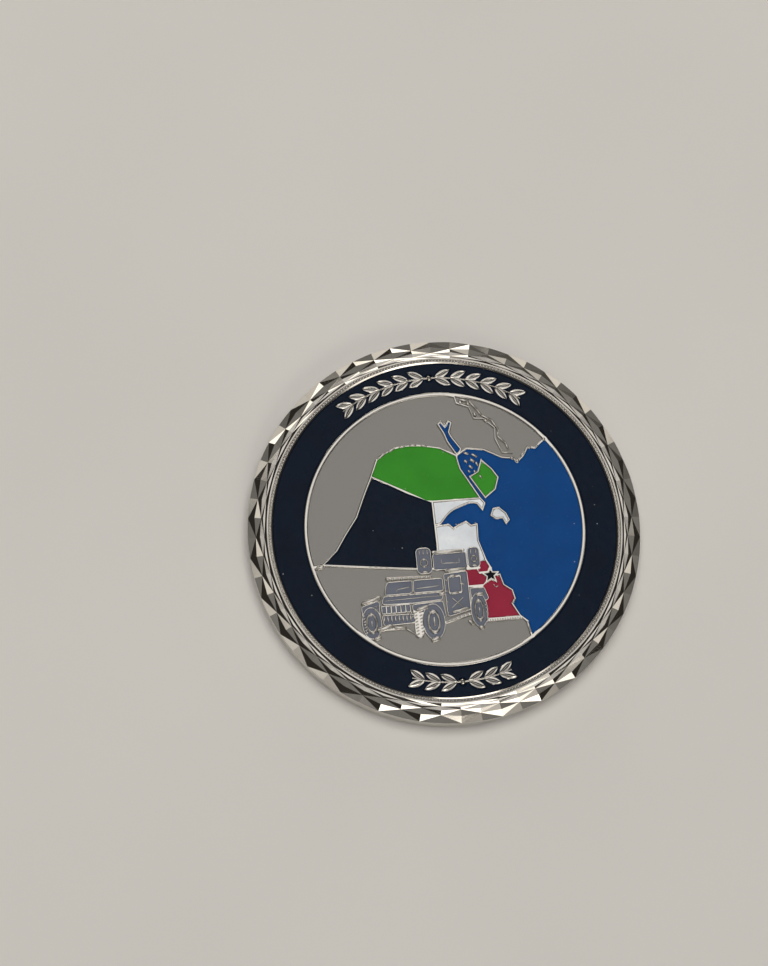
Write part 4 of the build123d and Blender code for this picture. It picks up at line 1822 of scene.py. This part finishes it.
def map_trim(coin: CoinSizes) -> Trim:
    """The map's raised marks: river banks, shoals, and studs along the coast and the border."""
    banks = ((3.2, 14.85), (4.3, 14.6), (5.1, 13.5), (5.55, 12.75), (6.6, 12.15), (7.3, 10.9),
             (7.1, 10.15), (7.9, 9.3), (8.2, 8.45))
    shoals = (
        Bar((3.0, 8.45), (3.6, 8.25), 0.34), Bar((3.85, 8.25), (4.5, 7.85), 0.30),
        Bar((2.95, 7.6), (3.3, 7.25), 0.32), Bar((3.6, 7.65), (4.15, 7.3), 0.40),
        Bar((4.25, 7.3), (4.45, 6.8), 0.28), Bar((3.4, 6.9), (3.85, 6.55), 0.34),
        Bar((3.95, 6.35), (4.1, 5.95), 0.26), Bar((3.25, 6.35), (3.5, 6.1), 0.24),
        Bar((4.5, 5.7), (4.75, 5.3), 0.24),
    )
    studs = (
        Bar((-14.95, -3.62), (-14.0, -3.5), 0.52, 0.02), Bar((-6.9, 8.5), (-5.9, 9.12), 0.30),
        Bar((-5.6, 9.25), (-4.8, 9.62), 0.30), Bar((-4.3, 9.68), (-3.6, 9.76), 0.28),
        Bar((-3.1, 9.78), (-2.3, 9.8), 0.28), Bar((-1.8, 9.72), (-1.1, 9.57), 0.28),
        Bar((8.25, 7.5), (8.65, 7.3), 0.42), Bar((8.95, 6.95), (9.15, 7.1), 0.46),
        Bar((9.55, 7.6), (9.95, 8.05), 0.30), Bar((10.4, 8.5), (10.75, 8.5), 0.40),
        Bar((11.3, 8.5), (11.6, 8.7), 0.28), Bar((12.2, 9.2), (12.5, 9.5), 0.36),
        Bar((6.55, -9.4), (6.85, -8.95), 0.30), Bar((7.95, -11.6), (8.2, -12.9), 0.28),
        Bar((1.0, 12.1), (1.35, 12.1), 0.30), Bar((0.72, 12.4), (0.82, 12.6), 0.28),
        Bar((3.1, 14.7), (3.5, 14.3), 0.42), Bar((3.95, 14.35), (4.35, 14.2), 0.40),
        Bar((4.7, 13.2), (4.9, 12.7), 0.34), Bar((5.75, 12.2), (6.2, 12.0), 0.34),
    )
    rows = (
        Row("coast_road", (3.55, -11.15), (7.2, -11.15), 14, 0.14, 0.32, 90),
        Row("border_studs", (-8.9, -3.96), (-7.1, -4.19), 4, 0.18, 0.24, -7),
        Row("shore_studs", (-1.0, 0.2), (3.4, 0.12), 7, 0.13, 0.20, 15),
    )
    return Trim(coin, "map_trim", route(banks, 0.22, 0.06) + shoals + studs, rows)


# ---------------------------------------------------------------- studio
@dataclass(frozen=True)
class Panel:
    """A soft round light panel far off, with its angles in degrees."""

    azimuth: float
    elevation: float
    half_angle: float
    softness: float
    radiance: float
    colour: Colour = (1.0, 0.95, 0.86)

    @property
    def way(self) -> Vector:
        """Its direction from the coin, with the azimuth anticlockwise from +X."""
        x, y = polar(math.cos(math.radians(self.elevation)), self.azimuth)
        return Vector((x, y, math.sin(math.radians(self.elevation))))


@dataclass
class Studio:
    """The pale table, the soft lights and the camera."""

    coin: CoinSizes
    camera_distance: float = 221.30
    camera_azimuth: float = -25.958
    camera_elevation: float = 74.215
    aim: Point2 = (-6.422, 5.609)
    roll: float = -5.94
    lens: float = 73.21
    table_size: float = 2.4
    table_colour: Colour = (0.72, 0.70, 0.67)
    fill: float = 4.7
    fill_size: float = 0.5
    fill_distance: float = 0.75
    panels: tuple[Panel, ...] = (
        Panel(64, 74.2, 6, 2, 0.64, (1.0, 0.98, 0.95)), Panel(266, 31, 7, 3, 2.4),
        Panel(287, 41, 8, 3, 2.6), Panel(306, 31, 6, 3, 1.6), Panel(84, 12, 6, 3, 2.4),
        Panel(101, 20, 4, 3, 1.8), Panel(122, 13, 5, 3, 1.6), Panel(70, 60, 5, 2, 0.7),
        Panel(118, 73, 5, 2, 0.45), Panel(300, 86, 4, 2, 0.25), Panel(185, 50, 5, 3, 0.5),
        Panel(8, 48, 5, 3, 0.7),
    )
    sky: tuple[tuple[float, Colour], ...] = (
        (0.0, (0.20, 0.19, 0.175)), (0.09, (0.12, 0.114, 0.105)), (0.15, (0.028, 0.025, 0.022)),
        (0.64, (0.030, 0.027, 0.024)), (0.84, (0.110, 0.106, 0.099)),
        (0.93, (0.205, 0.199, 0.190)), (1.0, (0.205, 0.199, 0.190)),
    )

    def build(self) -> None:
        """Sets the table, the lights, the surroundings and the camera."""
        self.table()
        self.surroundings()
        self.lights()
        self.camera()

    def table(self) -> None:
        """A plain pale table top under the coin."""
        half = self.table_size / 2
        mesh = bpy.data.meshes.new("table_top")
        mesh.from_pydata([(-half, -half, 0), (half, -half, 0), (half, half, 0), (-half, half, 0)],
                         [], [(0, 1, 2, 3)])
        shader = Shader("table_top")
        tone = shader.spread(Patches(0.02, 3.0, 0.3, 0.7))
        pale = tuple(share * 0.96 for share in self.table_colour)
        shader.dress({"Base Color": shader.blend(tone, self.table_colour, pale), "Roughness": 0.75})
        as_object(mesh, shader.material)

    def surroundings(self) -> None:
        """A dim warm room, lighter overhead and at the horizon, with the panels in it."""
        world = bpy.data.worlds.new("studio")
        bpy.context.scene.world = world
        world.use_nodes = True
        work = NodeWork(world.node_tree)
        way = work.node("ShaderNodeTexCoord").outputs["Generated"]
        split = work.node("ShaderNodeSeparateXYZ", {0: way})
        ramp = work.node("ShaderNodeValToRGB", {"Fac": split.outputs["Z"]})
        while len(ramp.color_ramp.elements) < len(self.sky):
            ramp.color_ramp.elements.new(0.5)
        for element, (at, colour) in zip(ramp.color_ramp.elements, self.sky):
            element.position = at
            element.color = (*colour, 1.0)
        light = ramp.outputs["Color"]
        for panel in self.panels:
            facing = work.node("ShaderNodeVectorMath", {0: way, 1: panel.way}, operation="DOT_PRODUCT")
            outer, inner = panel.half_angle + panel.softness, panel.half_angle
            share = work.node("ShaderNodeMapRange", {
                "Value": facing.outputs["Value"], "From Min": math.cos(math.radians(outer)),
                "From Max": math.cos(math.radians(inner))}, interpolation_type="SMOOTHSTEP")
            glow = work.node("ShaderNodeVectorMath", {
                0: Vector(panel.colour) * panel.radiance, "Scale": share.outputs["Result"]},
                operation="SCALE")
            light = work.node("ShaderNodeVectorMath", {0: light, 1: glow.outputs["Vector"]},
                              operation="ADD").outputs["Vector"]
        backdrop = work.tree.nodes["Background"]
        work.feed(backdrop.inputs["Color"], light)
        work.feed(backdrop.inputs["Strength"], 1.0)

    def lights(self) -> None:
        """An even fill from above, which the polished metal doesn't mirror."""
        data = bpy.data.lights.new("ceiling_fill", "AREA")
        data.shape = "SQUARE"
        data.size = self.fill_size
        data.energy = self.fill * math.pi * self.fill_size * self.fill_size
        data.color = (1.0, 0.98, 0.95)
        light = in_scene("ceiling_fill", data)
        light.visible_camera = light.visible_glossy = False
        way = Vector((0.0, 0.1, 1.0)).normalized()
        light.location = way * self.fill_distance
        light.rotation_mode = "QUATERNION"
        light.rotation_quaternion = way.to_track_quat("Z", "Y")

    def camera(self) -> None:
        """The camera above the obverse, a little to the front and left."""
        azimuth, elevation = math.radians(self.camera_azimuth), math.radians(self.camera_elevation)
        back = Vector((math.sin(azimuth) * math.cos(elevation),
                       -math.cos(azimuth) * math.cos(elevation), math.sin(elevation)))
        top = Vector((0.0, 0.0, self.coin.thickness))
        place = top + back * self.camera_distance
        away = (place - Vector((*self.aim, self.coin.thickness))).normalized()
        level = Vector((0.0, 1.0, 0.0)).cross(away).normalized()
        turn = math.radians(self.roll)
        right = level * math.cos(turn) + away.cross(level) * math.sin(turn)
        up = away.cross(right)
        data = bpy.data.cameras.new("camera")
        data.lens = self.lens
        data.clip_start, data.clip_end = 0.01, 10.0
        camera = in_scene("camera", data)
        turned = Matrix((right, up, away)).transposed().to_4x4()
        camera.matrix_world = Matrix.Translation(place * MM) @ turned
        bpy.context.scene.camera = camera


def main() -> None:
    """Builds the coin's sub-assemblies in order, then the studio round them."""
    logging.basicConfig(level=logging.INFO, format="%(name)s: %(message)s")
    coin = measured_coin()
    paints = Paintbox()
    reader = OutlineReader(coin)
    FacetedBand(coin).build(paints)
    PlainRim(coin).build(paints)
    StruckCore(coin, reader).build(paints)
    Garlands(coin).build(paints)
    BeadRing(coin).build(paints)
    CompassTrim(coin).build(paints)
    for cell in enamel_cells(coin, reader):
        cell.build(paints)
    truck_trim(coin).build(paints)
    map_trim(coin).build(paints)
    Studio(coin).build()
    bpy.context.scene.view_settings.view_transform = "Standard"


if __name__ == "__main__":
    main()
